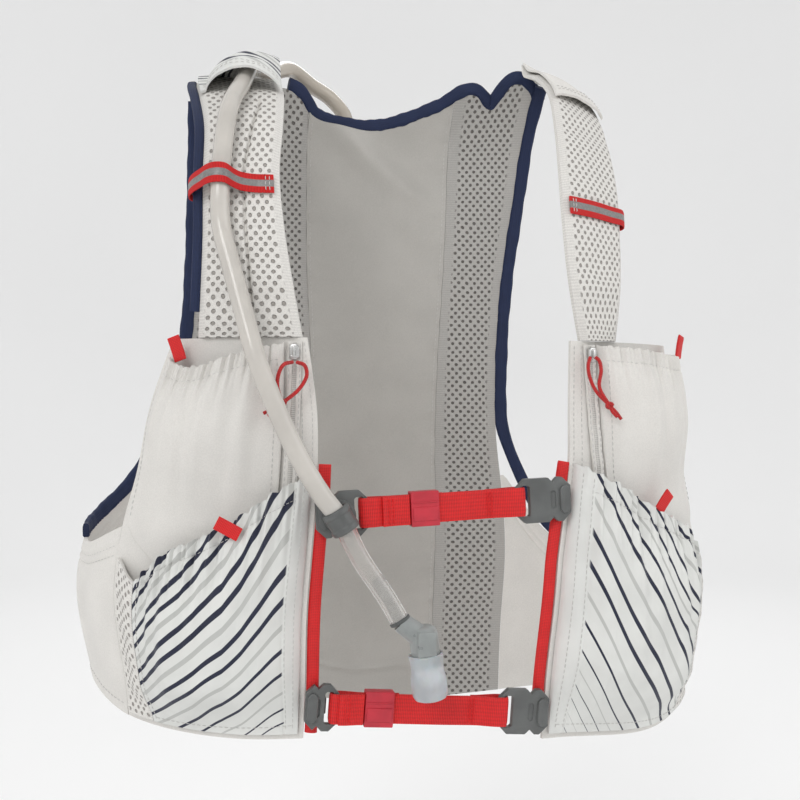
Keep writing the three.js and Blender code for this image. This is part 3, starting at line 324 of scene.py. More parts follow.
def waves(value, *terms):
    """A sum of waves, each with its count, size and shift"""
    value = np.asarray(value, float)
    return sum(size * np.sin(2 * np.pi * (count * value + shift)) for count, size, shift in terms)


def form(angle, z, out=0.0):
    """Points of the torso form: an angle round it, a height and how far outside it"""
    s = sizes()
    angle, z, out = np.broadcast_arrays(
        np.asarray(angle, float), np.asarray(z, float), np.asarray(out, float)
    )
    down = np.clip(-z / s.vest_height, -0.06, 1.12)
    half = read(TORSO, "down", down, "half") * s.half_width
    side, across = np.cos(np.radians(angle)), np.sin(np.radians(angle))
    front = read(TORSO, "down", down, "front") * s.front_depth
    back = read(TORSO, "down", down, "back") * s.back_depth
    depth = np.where(side > 0, front, back)
    normal_x, normal_y = across / half, -side / depth
    length = np.hypot(normal_x, normal_y)
    lean = s.shoulder_lean * np.maximum(0, (0.12 - down) / 0.12) ** 2 * np.maximum(0, -side)
    return np.stack(
        [half * across + out * normal_x / length, -depth * side - lean + out * normal_y / length, z], -1
    )


def degrees_for(length, angle, z):
    """Degrees that a length takes round the form at a place"""
    return length / np.linalg.norm(form(angle - 0.5, z) - form(angle + 0.5, z), axis=-1)


def hem_z(angle):
    """Height of the hem"""
    return -sizes().vest_height * read(HEM, "angle", angle, "down")


def neck_z(angle):
    """Height of the top edge of the back"""
    return -sizes().vest_height * read(NECK, "angle", angle, "down")


SEAM_GAP = 0.3 * MM
LAYER_GAP = 0.7 * MM
PHOTO_SCALE = 1068.0
CAMERA_AT = Vector((-0.1229, -0.632, -0.205))
CAMERA_WAY = Vector((0.1908, 0.9816, 0))


def sight(points):
    """Where points lie in the photograph's 800 by 800 frame"""
    away = points - np.array(CAMERA_AT)
    depth = away[..., 0] * CAMERA_WAY.x + away[..., 1] * CAMERA_WAY.y
    side = away[..., 0] * CAMERA_WAY.y - away[..., 1] * CAMERA_WAY.x
    return 400 + PHOTO_SCALE * side / depth, 400 - PHOTO_SCALE * away[..., 2] / depth


def link(name, mesh):
    """An object for a mesh, in the scene"""
    piece = bpy.data.objects.new(name, mesh)
    bpy.context.scene.collection.objects.link(piece)
    return piece


def mesh_piece(name, points, faces, uv=None, floats=None, sharp=50):
    """A piece from points and faces, with its own UV map and attributes, its faces turned out"""
    points = np.asarray(points, float).reshape(-1, 3)
    mesh = bpy.data.meshes.new(name)
    mesh.from_pydata(points.tolist(), [], [list(map(int, face)) for face in faces])
    mesh.update()
    maker = bmesh.new()
    maker.from_mesh(mesh)
    if maker.calc_volume(signed=True) < 0:
        bmesh.ops.reverse_faces(maker, faces=maker.faces[:])
    maker.to_mesh(mesh)
    maker.free()
    if uv is not None:
        corners = np.zeros(len(mesh.loops), int)
        mesh.loops.foreach_get("vertex_index", corners)
        layer = mesh.uv_layers.new(name="UVMap")
        layer.data.foreach_set("uv", np.asarray(uv, float).reshape(-1, 2)[corners].ravel())
    for key, values in (floats or {}).items():
        attribute = mesh.attributes.new(key, "FLOAT", "POINT")
        attribute.data.foreach_set("value", np.asarray(values, np.float32).ravel())
    mesh.polygons.foreach_set("use_smooth", [True] * len(mesh.polygons))
    mesh.set_sharp_from_angle(angle=math.radians(sharp))
    return link(name, mesh)


def dress(piece, material, nodes):
    """Gives a piece its material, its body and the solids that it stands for"""
    piece.data.materials.clear()
    piece.data.materials.append(material)
    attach(piece, BODY)
    if nodes:
        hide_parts(*nodes)
    return piece


def grid_faces(across, along, start=0, wrap=False):
    """The four-sided faces of a grid of points, a row at a time"""
    wide = across if wrap else across + 1
    j, i = np.mgrid[0:along, 0:across]
    a = start + j * wide + i
    b = start + j * wide + (i + 1) % wide
    return np.stack([a, b, b + wide, a + wide], -1).reshape(-1, 4)


def shell(name, surface, thickness, across, along, floats=None, sharp=50, lay=None):
    """A closed sheet of cloth between two surfaces that share their grid, with UV in metres"""
    u, v = np.meshgrid(np.linspace(0, 1, across + 1), np.linspace(0, 1, along + 1))
    outer, inner = surface(u, v, thickness), surface(u, v, 0 * u)
    back = outer.shape[0] * outer.shape[1]
    wide = across + 1
    front_faces = grid_faces(across, along)
    i, j = np.arange(across), np.arange(along)
    top = along * wide
    rims = [
        np.stack([i + 1, i, back + i, back + i + 1], -1),
        np.stack([top + i, top + i + 1, back + top + i + 1, back + top + i], -1),
        np.stack([j * wide, (j + 1) * wide, back + (j + 1) * wide, back + j * wide], -1),
        np.stack(
            [(j + 1) * wide + across, j * wide + across, back + j * wide + across, back + (j + 1) * wide + across],
            -1,
        ),
    ]
    faces = np.concatenate([front_faces, front_faces[:, ::-1] + back, *rims])
    middle_row = outer[along // 2]
    middle_column = outer[:, across // 2]
    width = np.linalg.norm(np.diff(middle_row, axis=0), axis=-1).sum()
    length = np.linalg.norm(np.diff(middle_column, axis=0), axis=-1).sum()
    uv = np.stack([u * width, v * length] if lay is None else lay(u, v), -1).reshape(-1, 2)
    double = {key: np.tile(np.asarray(value(u, v), float).ravel(), 2) for key, value in (floats or {}).items()}
    points = np.concatenate([outer.reshape(-1, 3), inner.reshape(-1, 3)])
    piece = mesh_piece(name, points, faces, np.tile(uv, (2, 1)), double, sharp)
    piece["width"], piece["length"] = width, length
    rows = np.linalg.norm(np.diff(outer, axis=1), axis=-1).sum(1)
    columns = np.linalg.norm(np.diff(outer, axis=0), axis=-1).sum(0)
    piece["widest"], piece["longest"] = float(rows.max()), float(columns.max())
    cross = np.cross(outer[1:, 1:] - outer[:-1, :-1], outer[1:, :-1] - outer[:-1, 1:])
    piece["cut_area"] = float(np.linalg.norm(cross, axis=-1).sum() / 2)
    return piece


def on_form(place, bulge):
    """A surface on the form: place gives angles and heights, bulge the height off the form"""

    def surface(u, v, out):
        angle, z = place(u, v)
        return form(angle, z, bulge(u, v, angle, z) + out)

    return surface


def cloth_sheet(piece):
    """Hands the sheet back unchanged; shell already stores its sizes"""
    return piece


def spread(count, at):
    """Stations along a line, from a function of the share"""
    return [at(i / count) for i in range(count + 1)]


def bar(name, centres, widthways, depthways, width, thickness, sides=14, square=2.6, floats=None):
    """A soft flat bar along centres, with its cross-section between an oval and a rectangle"""
    centres, widthways, depthways = (np.asarray(x, float) for x in (centres, widthways, depthways))
    count = len(centres)
    width = np.broadcast_to(np.asarray(width, float), (count,))
    thickness = np.broadcast_to(np.asarray(thickness, float), (count,))
    turn = 2 * np.pi * (np.arange(sides) + 0.5) / sides
    cosine, sine = np.cos(turn), np.sin(turn)
    x = np.sign(cosine) * np.abs(cosine) ** (2 / square) / 2
    y = np.sign(sine) * np.abs(sine) ** (2 / square) / 2
    points = (
        centres[:, None]
        + widthways[:, None] * (x[None, :] * width[:, None])[..., None]
        + depthways[:, None] * (y[None, :] * thickness[:, None])[..., None]
    )
    faces = grid_faces(sides, count - 1, wrap=True).tolist()
    faces.append(list(range(sides))[::-1])
    faces.append([(count - 1) * sides + k for k in range(sides)])
    run = np.concatenate([[0], np.cumsum(np.linalg.norm(np.diff(centres, axis=0), axis=-1))])
    uv = np.stack(np.broadcast_arrays(x[None, :] * width[:, None], run[:, None]), -1)
    floats = {key: np.repeat(values, sides) for key, values in (floats or {}).items()}
    piece = mesh_piece(name, points.reshape(-1, 3), faces, uv.reshape(-1, 2), floats, sharp=70)
    piece["length"] = float(run[-1])
    return piece


def spline(points, count):
    """Points at even distances along a smooth curve through the given ones"""
    p = np.asarray(points, float)
    p = np.concatenate([[2 * p[0] - p[1]], p, [2 * p[-1] - p[-2]]])
    fine = []
    for k in range(1, len(p) - 2):
        p0, p1, p2, p3 = p[k - 1 : k + 3]
        d0, d1, d2 = (max(np.linalg.norm(b - a), 1e-9) ** 0.5 for a, b in ((p0, p1), (p1, p2), (p2, p3)))
        start = (p1 - p0) / d0 - (p2 - p0) / (d0 + d1) + (p2 - p1) / d1
        end = (p2 - p1) / d1 - (p3 - p1) / (d1 + d2) + (p3 - p2) / d2
        start, end = start * d1, end * d1
        t = np.linspace(0, 1, 40, endpoint=False)[:, None]
        cube = 2 * p1 - 2 * p2 + start + end
        square = -3 * p1 + 3 * p2 - 2 * start - end
        fine.append(cube * t**3 + square * t**2 + start * t + p1)
    fine = np.concatenate([*fine, p[-2:-1]])
    run = np.concatenate([[0], np.cumsum(np.linalg.norm(np.diff(fine, axis=0), axis=-1))])
    at = np.linspace(0, run[-1], count)
    return np.stack([np.interp(at, run, fine[:, k]) for k in range(3)], -1), float(run[-1])


def frames_along(path):
    """Two directions across a path at each of its points, turning as little as they can"""
    way = unit(np.gradient(path, axis=0))
    first = np.cross(way[0], [0.0, 0.0, 1.0])
    if np.linalg.norm(first) < 0.2:
        first = np.cross(way[0], [1.0, 0.0, 0.0])
    side = [unit(first)]
    for k in range(1, len(path)):
        last = side[-1] - way[k] * np.dot(side[-1], way[k])
        side.append(unit(last))
    side = np.array(side)
    return way, side, np.cross(way, side)


def tube(name, path, radius, sides=20, inner=None, floats=None):
    """A round tube along a path, solid, or hollow where an inner radius is given"""
    path = np.asarray(path, float)
    way, side, up = frames_along(path)
    turn = 2 * np.pi * np.arange(sides) / sides
    radius = np.broadcast_to(np.asarray(radius, float), (len(path),))
    round_it = side[:, None] * np.cos(turn)[None, :, None] + up[:, None] * np.sin(turn)[None, :, None]
    outer = path[:, None] + round_it * radius[:, None, None]
    run = np.concatenate([[0], np.cumsum(np.linalg.norm(np.diff(path, axis=0), axis=-1))])
    share = np.broadcast_to(turn[None, :] / (2 * np.pi), outer.shape[:2])
    uv = np.stack([share, np.broadcast_to(run[:, None], outer.shape[:2])], -1)
    last = (len(path) - 1) * sides
    faces = grid_faces(sides, len(path) - 1, wrap=True).tolist()
    points = outer.reshape(-1, 3)
    uvs = uv.reshape(-1, 2)
    k = np.arange(sides)
    if inner is None:
        faces += [k[::-1].tolist(), (last + k).tolist()]
    else:
        hollow = path[:, None] + round_it * inner
        start = len(points)
        faces += grid_faces(sides, len(path) - 1, start, wrap=True)[:, ::-1].tolist()
        after = (k + 1) % sides
        faces += np.stack([after, k, start + k, start + after], -1).tolist()
        faces += np.stack([last + k, last + after, start + last + after, start + last + k], -1).tolist()
        points = np.concatenate([points, hollow.reshape(-1, 3)])
        uvs = np.concatenate([uvs, uvs])
    rings = 1 if inner is None else 2
    floats = {key: np.tile(np.repeat(values, sides), rings) for key, values in (floats or {}).items()}
    return mesh_piece(name, points, faces, uvs, floats, sharp=60)


def stitches(name, lines, material, width=0.45 * MM, pitch=3.0 * MM):
    """Rows of stitches, each a small bar of thread along a line with its normals"""
    long = sizes().stitch
    ring = np.array([(math.cos(t), math.sin(t)) for t in 2 * np.pi * (np.arange(4) + 0.5) / 4])
    points, faces = [], []
    for line, normals in lines:
        line, normals = np.asarray(line, float), np.asarray(normals, float)
        run = np.concatenate([[0], np.cumsum(np.linalg.norm(np.diff(line, axis=0), axis=-1))])
        count = max(1, int(run[-1] / pitch))
        centre_run = (np.arange(count) + 0.5) * run[-1] / count
        for middle in centre_run:
            stations = np.array([middle - long / 2, middle - long / 4, middle + long / 4, middle + long / 2])
            at = np.stack([np.interp(stations, run, line[:, k]) for k in range(3)], -1)
            normal = unit(np.array([np.interp(middle, run, normals[:, k]) for k in range(3)]))
            side = unit(np.cross(normal, at[-1] - at[0]))
            start = len(points)
            for place, scale, lift in zip(at, (0.5, 1, 1, 0.5), (0, 0.75, 0.75, 0)):
                for x, y in ring:
                    points.append(place + (side * x * scale + normal * (y * scale + lift)) * width / 2)
            for row in range(3):
                for k in range(4):
                    a, b = start + row * 4 + k, start + row * 4 + (k + 1) % 4
                    faces.append([a, b, b + 4, a + 4])
            faces.append([start + k for k in range(4)][::-1])
            faces.append([start + 12 + k for k in range(4)])
    return dress(mesh_piece(name, points, faces, sharp=80), material, [])


def line_on(surface, u, v, out):
    """A line on a cloth surface with its normals, for a row of stitches"""
    u, v = np.broadcast_arrays(np.asarray(u, float), np.asarray(v, float))
    low, high = surface(u, v, 0 * u + out), surface(u, v, 0 * u + out + MM)
    return low, unit(high - low)


class Finish:
    """A material, put together node by node"""

    def __init__(self, name, base=None, **sockets):
        self.material = bpy.data.materials.new(name)
        self.material.use_nodes = True
        self.tree = self.material.node_tree
        self.shader = self.tree.nodes["Principled BSDF"]
        if base is not None:
            self.shader.inputs["Base Color"].default_value = (*base, 1)
            self.material.diffuse_color = (*base, 1)
        for key, value in sockets.items():
            self.shader.inputs[key.replace("_", " ").title().replace("Ior", "IOR")].default_value = value

    def add(self, kind, **settings):
        """A node with its settings"""
        node = self.tree.nodes.new("ShaderNode" + kind)
        for key, value in settings.items():
            setattr(node, key, value)
        return node

    def feed(self, socket, value):
        """A link, or a number on the socket itself"""
        if isinstance(value, bpy.types.NodeSocket):
            self.tree.links.new(value, socket)
        elif isinstance(value, tuple) and len(value) == 3 and socket.type == "RGBA":
            socket.default_value = (*value, 1)
        else:
            socket.default_value = value

    def math(self, operation, *values, clamp=False):
        """A sum on numbers"""
        node = self.add("Math", operation=operation, use_clamp=clamp)
        for socket, value in zip(node.inputs, values):
            self.feed(socket, value)
        return node.outputs[0]

    def vector(self, operation, *values, out=0):
        """A sum on vectors"""
        node = self.add("VectorMath", operation=operation)
        for socket, value in zip(node.inputs, values):
            self.feed(socket, value)
        return node.outputs[out]

    def blend(self, share, first, second):
        """A colour between two"""
        node = self.add("Mix", data_type="RGBA")
        self.feed(node.inputs[0], share)
        self.feed(node.inputs[6], first)
        self.feed(node.inputs[7], second)
        return node.outputs[2]

    def step(self, value, low, high, bottom=0.0, top=1.0):
        """A smooth step between two values"""
        node = self.add("MapRange", interpolation_type="SMOOTHSTEP")
        for socket, number in zip(node.inputs, (value, low, high, bottom, top)):
            self.feed(socket, number)
        return node.outputs[0]

    def place(self, source="UV", scale=(1000.0, 1000.0, 1000.0), turn=0.0):
        """The piece's own UV map or its Object coordinates, scaled, in millimetres at first"""
        node = self.add("TexCoord")
        mapping = self.add("Mapping")
        mapping.inputs["Scale"].default_value = scale
        mapping.inputs["Rotation"].default_value[2] = turn
        self.feed(mapping.inputs[0], node.outputs[source])
        return mapping.outputs[0]

    def split(self, vector):
        """A vector's numbers"""
        node = self.add("SeparateXYZ")
        self.feed(node.inputs[0], vector)
        return node.outputs

    def noise(self, vector, scale, detail=2.0, rough=0.5):
        """Soft noise from 0 to 1"""
        node = self.add("TexNoise")
        self.feed(node.inputs["Vector"], vector)
        node.inputs["Scale"].default_value = scale
        node.inputs["Detail"].default_value = detail
        node.inputs["Roughness"].default_value = rough
        return node.outputs[0]

    def ribs(self, value, pitch, shift=0.0):
        """Waves from 0 to 1, one in each pitch"""
        turned = self.math("MULTIPLY_ADD", value, 2 * math.pi / pitch, shift)
        return self.math("MULTIPLY_ADD", self.math("SINE", turned), 0.5, 0.5)

    def attribute(self, name):
        """A number that the mesh holds at its points"""
        node = self.add("Attribute", attribute_type="GEOMETRY", attribute_name=name)
        return node.outputs["Fac"]

    def colour_from(self, value):
        """The shader's colour from a link"""
        self.feed(self.shader.inputs["Base Color"], value)

    def bump(self, *layers):
        """Relief from heights, each with its distance in metres"""
        last = None
        for height, distance in layers:
            node = self.add("Bump")
            node.inputs["Strength"].default_value = 1.0
            node.inputs["Distance"].default_value = distance
            self.feed(node.inputs["Height"], height)
            if last is not None:
                self.feed(node.inputs["Normal"], last)
            last = node.outputs[0]
        self.feed(self.shader.inputs["Normal"], last)


def darker(base, share):
    """A colour at a share of its light"""
    return tuple(share * x for x in base)


def weave(finish, pitch, source="UV"):
    """The height of a plain weave, over and under in turn"""
    parts = finish.split(finish.place(source))
    across, along = finish.ribs(parts[0], pitch), finish.ribs(parts[1], pitch, 1.2)
    return finish.math("ABSOLUTE", finish.math("SUBTRACT", across, along))


def cloth_finish(name, base, pitch=0.55, wrinkle=0.16 * MM, sheen=0.15, rough=0.82):
    """A matte stretch cloth with a fine weave, soft wrinkles and a little shading of its own"""
    made = Finish(name, base, roughness=rough, sheen_weight=sheen, sheen_roughness=0.5)
    where = made.place("Object", (1.0, 1.0, 1.0))
    cloud = made.noise(where, 38, 3)
    heather = made.noise(where, 1400, 1)
    shade = made.math("MULTIPLY_ADD", cloud, 0.5, made.math("MULTIPLY", heather, 0.5))
    made.colour_from(made.blend(made.step(shade, 0.3, 0.7), darker(base, 0.93), darker(base, 1.04)))
    made.bump((made.noise(where, 95, 3, 0.55), wrinkle), (weave(made, pitch), 0.035 * MM))
    return made.material


def mesh_finish(name, base, hole):
    """Spacer mesh: staggered round holes that end before the sewn edges, painted dark with painted shade over the inner
    layer, with a knitted face
    """
    made = Finish(name, base, roughness=0.85, sheen_weight=0.1)
    pitch = sizes().hole_pitch
    where = made.place("UV", (1 / pitch, 1 / (pitch * 1.08), 1.0))
    wobble = made.noise(made.place("Object", (1.0, 1.0, 1.0)), 60, 1)
    where = made.vector("ADD", where, made.vector("MULTIPLY", made.vector("SUBTRACT", wobble, (0.5, 0.5, 0.5)), (0.4, 0.4, 0.4)))
    flat = made.vector("MULTIPLY", where, (1.0, 1.0, 0.0))
    rings = []
    for shift in (0.0, 0.5):
        cell = made.vector("FRACTION", made.vector("ADD", flat, (shift, shift, 0.0)))
        from_middle = made.vector("MULTIPLY", made.vector("SUBTRACT", cell, (0.5, 0.5, 0.0)), (1.0, 1.15, 0.0))
        rings.append(made.vector("LENGTH", from_middle, out=1))
    away = made.math("MINIMUM", *rings)
    depth = made.step(away, 0.15, 0.235, 1.0, 0.0)
    depth = made.math("MULTIPLY", depth, made.step(made.attribute("edge"), 3.2, 4.6))
    knit = made.noise(made.place("Object", (1.0, 1.0, 1.0)), 2300, 1)
    face = made.blend(made.step(knit, 0.3, 0.7), darker(base, 0.9), darker(base, 1.06))
    zig = made.ribs(made.split(made.place("UV"))[1], 1.5)
    border = made.step(made.attribute("edge"), 3.4, 4.4, 0.22, 0.0)
    face = made.blend(made.math("MULTIPLY", border, zig), face, darker(base, 0.45))
    # Painted shade: where the hole mask is, the holes take the dark hole colour, besides their sunk relief.
    made.colour_from(made.blend(depth, face, hole))
    sunk = made.math("SUBTRACT", 1.0, depth)
    made.bump((sunk, 0.9 * MM), (knit, 0.12 * MM))
    return made.material


def striped_finish(name, base, dark, pale, pitch=0.55):
    """Stretch cloth with printed lines: the attribute stripe counts them, weight is their share"""
    made = Finish(name, base, roughness=0.82, sheen_weight=0.12)
    where = made.place("Object", (1.0, 1.0, 1.0))
    cloud = made.noise(where, 38, 3)
    ground = made.blend(made.step(cloud, 0.3, 0.7), darker(base, 0.94), darker(base, 1.04))
    count = made.attribute("stripe")
    nearest = made.math("ROUND", count)
    away = made.math("ABSOLUTE", made.math("SUBTRACT", count, nearest))
    half = made.math("MULTIPLY", made.attribute("weight"), 0.5)
    inside = made.math("SUBTRACT", half, away)
    line = made.step(inside, -0.012, 0.012)
    cycle = float(sizes().stripe_step)
    turn = made.math("FLOORED_MODULO", nearest, cycle)
    pale_one = made.math("GREATER_THAN", turn, cycle - 1.5)
    ink = made.blend(pale_one, dark, pale)
    made.colour_from(made.blend(made.math("MULTIPLY", line, made.attribute("inked")), ground, ink))
    made.bump((made.noise(where, 95, 3, 0.55), 0.16 * MM), (weave(made, pitch), 0.035 * MM))
    return made.material


def ribbed_finish(name, base, pitch, cross=0.0, height=0.16 * MM, rough=0.7, edge_dark=0.0):
    """Woven ribbon or webbing: ribs along it, finer threads across it, with painted shade in the valleys between them
    """
    made = Finish(name, base, roughness=rough, sheen_weight=0.04, sheen_roughness=0.4)
    parts = made.split(made.place("UV"))
    ribs = made.ribs(parts[1], pitch)
    thread = made.ribs(parts[0], cross or pitch * 1.6)
    relief = made.math("MULTIPLY_ADD", ribs, 0.65, made.math("MULTIPLY", thread, 0.35))
    cloud = made.noise(made.place("Object", (1.0, 1.0, 1.0)), 120, 3)
    # Painted shade: the colour darkens in the valleys between the ribs and lightens on their crests, mixed with a
    # random tone.
    tone_and_rib_shade = made.math("MULTIPLY_ADD", cloud, 0.4, made.math("MULTIPLY", relief, 0.6))
    made.colour_from(made.blend(made.step(tone_and_rib_shade, 0.2, 0.8), darker(base, 0.72), darker(base, 1.12)))
    made.bump((relief, height))
    return made.material


def braided_finish(name, base, pitch=1.6):
    """A braided cord: two sets of threads that cross on the slant, with painted shade where they dip"""
    made = Finish(name, base, roughness=0.65, sheen_weight=0.2)
    parts = made.split(made.place("UV", (1000.0, 1000.0, 1.0)))
    one = made.ribs(made.math("ADD", parts[0], parts[1]), pitch)
    two = made.ribs(made.math("SUBTRACT", parts[0], parts[1]), pitch)
    braid = made.math("MAXIMUM", one, two)
    # Painted shade: the cord is darker in the low places of the braid and lighter on its high places.
    made.colour_from(made.blend(made.step(braid, 0.3, 0.95), darker(base, 0.6), darker(base, 1.1)))
    made.bump((braid, 0.14 * MM))
    return made.material


def loop_finish(name, red, grey, width):
    """The ribbon of the strap loops: red, reflective grey and red in thirds"""
    made = Finish(name, red, roughness=0.6)
    parts = made.split(made.place("UV"))
    middle = made.math("ABSOLUTE", made.math("SUBTRACT", parts[0], width / 2 / MM))
    inner = made.step(middle, width / MM * 0.175, width / MM * 0.2, 1.0, 0.0)
    ribs = made.ribs(parts[1], 0.8)
    # Painted shade: the red ribbon is darker in the valleys between its ribs and lighter on their crests.
    woven_with_rib_shade = made.blend(ribs, darker(red, 0.6), darker(red, 1.05))
    grain = made.noise(made.place("Object", (1.0, 1.0, 1.0)), 900, 2)
    shiny = made.blend(made.step(grain, 0.3, 0.7), darker(grey, 0.85), darker(grey, 1.15))
    made.colour_from(made.blend(inner, woven_with_rib_shade, shiny))
    made.feed(made.shader.inputs["Roughness"], made.step(inner, 0.0, 1.0, 0.75, 0.35))
    made.bump((made.math("MULTIPLY", ribs, made.math("SUBTRACT", 1.0, inner)), 0.16 * MM))
    return made.material


def moulded_finish(name, base, rough=0.45, grain=0.05 * MM, **sockets):
    """Moulded plastic or rubber with a fine grain, rubbed a little smoother in patches"""
    made = Finish(name, base, roughness=rough, **sockets)
    where = made.place("Object", (1.0, 1.0, 1.0))
    patch = made.noise(where, 90, 4)
    fine = made.noise(where, 2600, 2)
    made.colour_from(made.blend(made.step(patch, 0.3, 0.7), darker(base, 0.88), darker(base, 1.14)))
    made.feed(made.shader.inputs["Roughness"], made.step(patch, 0.25, 0.75, rough * 0.85, rough * 1.2))
    made.bump((fine, grain))
    return made.material


def floor_finish(name, base):
    """A plain matte floor with very soft shading"""
    made = Finish(name, base, roughness=0.95)
    cloud = made.noise(made.place("Object", (1.0, 1.0, 1.0)), 0.9, 1)
    made.colour_from(made.blend(made.step(cloud, 0.3, 0.7), darker(base, 0.99), darker(base, 1.01)))
    return made.material


def hose_finish(name, upper, lower, change, sleeve, sleeve_end):
    """The tube's wall: tinted above the clip and clearer below, warm behind the neck"""
    made = Finish(
        name, upper, roughness=0.16, coat_weight=0.35, coat_roughness=0.12, transmission_weight=0.32, ior=1.42
    )
    run = made.split(made.place("UV"))[1]
    haze = made.noise(made.place("Object", (1.0, 1.0, 1.0)), 45, 3)
    tinted = made.blend(made.step(haze, 0.3, 0.7), darker(upper, 0.94), darker(upper, 1.05))
    tinted = made.blend(made.step(run, change - 12, change + 4), tinted, lower)
    made.colour_from(made.blend(made.step(run, sleeve_end - 10, sleeve_end), sleeve, tinted))
    made.feed(made.shader.inputs["Transmission Weight"], made.step(run, change - 6, change + 8, 0.24, 0.76))
    made.bump((haze, 0.08 * MM))
    return made.material


class Vest:
    """The finishes, made once and shared by the pieces"""

    finishes = {}

    @classmethod
    def finish(cls, name):
        """A finish by its name"""
        if name not in cls.finishes:
            cls.finishes[name] = make_finish(name)
        return cls.finishes[name]


LOOP_WIDTH = 10 * MM


def make_finish(name):
    """One finish of the vest"""
    c = colours()
    pick = {key: tuple(getattr(c, key)) for key in c.bl_rna.properties.keys() if key not in ("rna_type", "name")}
    makers = {
        "cloth": lambda: cloth_finish("stretch cloth", pick["cloth"]),
        "back": lambda: cloth_finish("smooth back cloth", pick["back"], 0.4, 0.1 * MM, 0.25, 0.62),
        "mesh": lambda: mesh_finish("spacer mesh", pick["mesh"], pick["hole"]),
        # Painted shade: the back's mesh is the spacer mesh and its holes made darker, for the shade inside the vest.
        "back mesh": lambda: mesh_finish("back spacer mesh", darker(pick["mesh"], 0.6), darker(pick["hole"], 0.42)),
        "striped": lambda: striped_finish("striped cloth", pick["striped"], pick["stripe"], pick["pale_stripe"]),
        "navy": lambda: ribbed_finish("navy binding", pick["navy"], 0.7, 1.4, 0.1 * MM, 0.75),
        "webbing": lambda: ribbed_finish("red webbing", pick["red"], 0.95, 1.9, 0.2 * MM, 0.6),
        "tab": lambda: ribbed_finish("red ribbon", pick["red"], 0.8, 1.1, 0.14 * MM, 0.6),
        "braid": lambda: braided_finish("red braid", pick["red"]),
        "keeper": lambda: moulded_finish("keeper rubber", pick["keeper"], 0.42, 0.04 * MM),
        "loop": lambda: loop_finish("loop ribbon", pick["red"], pick["reflective"], LOOP_WIDTH),
        "plastic": lambda: moulded_finish("buckle plastic", pick["plastic"], 0.4),
        "metal": lambda: moulded_finish("slider metal", (0.62, 0.62, 0.61), 0.3, 0.03 * MM, metallic=1.0),
        "thread": lambda: ribbed_finish("thread", pick["thread"], 0.5, 0.5, 0.05 * MM),
        "red thread": lambda: ribbed_finish("red thread", darker(pick["red"], 1.1), 0.5, 0.5, 0.05 * MM),
        "valve": lambda: moulded_finish(
            "valve plastic", pick["valve"], 0.3, 0.03 * MM, transmission_weight=0.12, coat_weight=0.3
        ),
        "ring": lambda: moulded_finish("valve ring", darker(pick["valve"], 0.25), 0.45),
        "barb": lambda: moulded_finish("barb plastic", (0.36, 0.37, 0.36), 0.4),
        "cap": lambda: moulded_finish(
            "cap silicone", pick["cap"], 0.32, 0.03 * MM, transmission_weight=0.45, ior=1.41,
            subsurface_weight=0.2, subsurface_scale=0.004,
        ),
        "coil": lambda: ribbed_finish("zip coil", darker(pick["cloth"], 0.8), 1.0, 3.0, 0.3 * MM, 0.55),
        "hose": lambda: hose_finish(
            "hose wall", pick["hose"], pick["clear_hose"], hose_run(CLIP_INDEX), (0.6, 0.54, 0.46), hose_run(7)
        ),
        "floor": lambda: floor_finish("pale floor", tuple(bpy.context.scene.vest_stage.floor)),
        "port": lambda: moulded_finish("port plastic", (0.06, 0.06, 0.06), 0.5),
    }
    return makers[name]()


def edge_distance(width, length, sides="lrtb"):
    """Millimetres to the nearest sewn edge, for the chosen sides of a sheet"""

    def at(u, v):
        gaps = {"l": u * width, "r": (1 - u) * width, "b": v * length, "t": (1 - v) * length}
        return np.minimum.reduce([gaps[side] for side in sides]) / MM

    return at


def hem_relief(u, v, width, length, sides, rise=0.35 * MM, reach=5 * MM):
    """A folded hem: a little thicker within its reach of the chosen sides"""
    away = edge_distance(width, length, sides)(u, v) * MM
    return rise * ramp(reach, reach * 0.8, away) - 0.25 * MM * bump_at(reach * 0.85, 0.5 * MM, away)


# Back
def back_place(first, second):
    """Angles and heights of a strip of the back between two columns of its table"""

    def place(u, v):
        height = sizes().vest_height
        z = np.full(u.shape, -height / 2)
        angle = np.full(u.shape, 180.0)
        for _ in range(4):
            gap = degrees_for(SEAM_GAP / 4, 180.0, z)
            start = read(BACK, "down", -z / height, first) + gap
            end = read(BACK, "down", -z / height, second) - gap
            angle = mix(start, end, u)
            z = mix(hem_z(angle), neck_z(angle), v)
        return angle, z

    return place


def drape(points, start, end, width, height, soft=0.25):
    """A soft fold on a line across the back, from one point to another in X and Z"""
    start, end = np.array(start), np.array(end)
    way = end - start
    length = np.linalg.norm(way)
    away = points[..., [0, 2]] - start
    share = (away @ way) / length**2
    off = (away[..., 0] * way[1] - away[..., 1] * way[0]) / length
    ends = ramp(-soft, soft, share) * ramp(1 + soft, 1 - soft, share)
    return height * ends * np.exp(-((off / width) ** 2))


def back_bulge(u, v, angle, z):
    """The folds of the smooth back: a drape under the neck, puckers at the seams, the seam over the hem"""
    points = form(angle, z)
    folds = -drape(points, (-0.042, -0.014), (0.034, -0.074), 0.0085, 6.5 * MM)
    folds = folds - drape(points, (-0.02, -0.03), (0.034, -0.1), 0.012, 4.2 * MM)
    folds = folds - drape(points, (-0.03, -0.2), (0.02, -0.3), 0.02, 3.4 * MM)
    folds = folds - drape(points, (0.02, -0.17), (-0.03, -0.36), 0.016, 1.9 * MM)
    seam = np.minimum(u, 1 - u)
    pucker = waves(z / MM / 24, (1, 1, 0.1), (2.3, 0.4, 0.6)) * np.exp(-seam * 9)
    hem_seam = hem_z(angle) + 21 * MM + 1.2 * MM * np.sin(points[..., 0] / (9 * MM))
    groove = 1.1 * MM * bump_at(hem_seam, 1.3 * MM, z)
    return folds - 0.55 * MM * pucker * ramp(0, 0.03, v) + groove


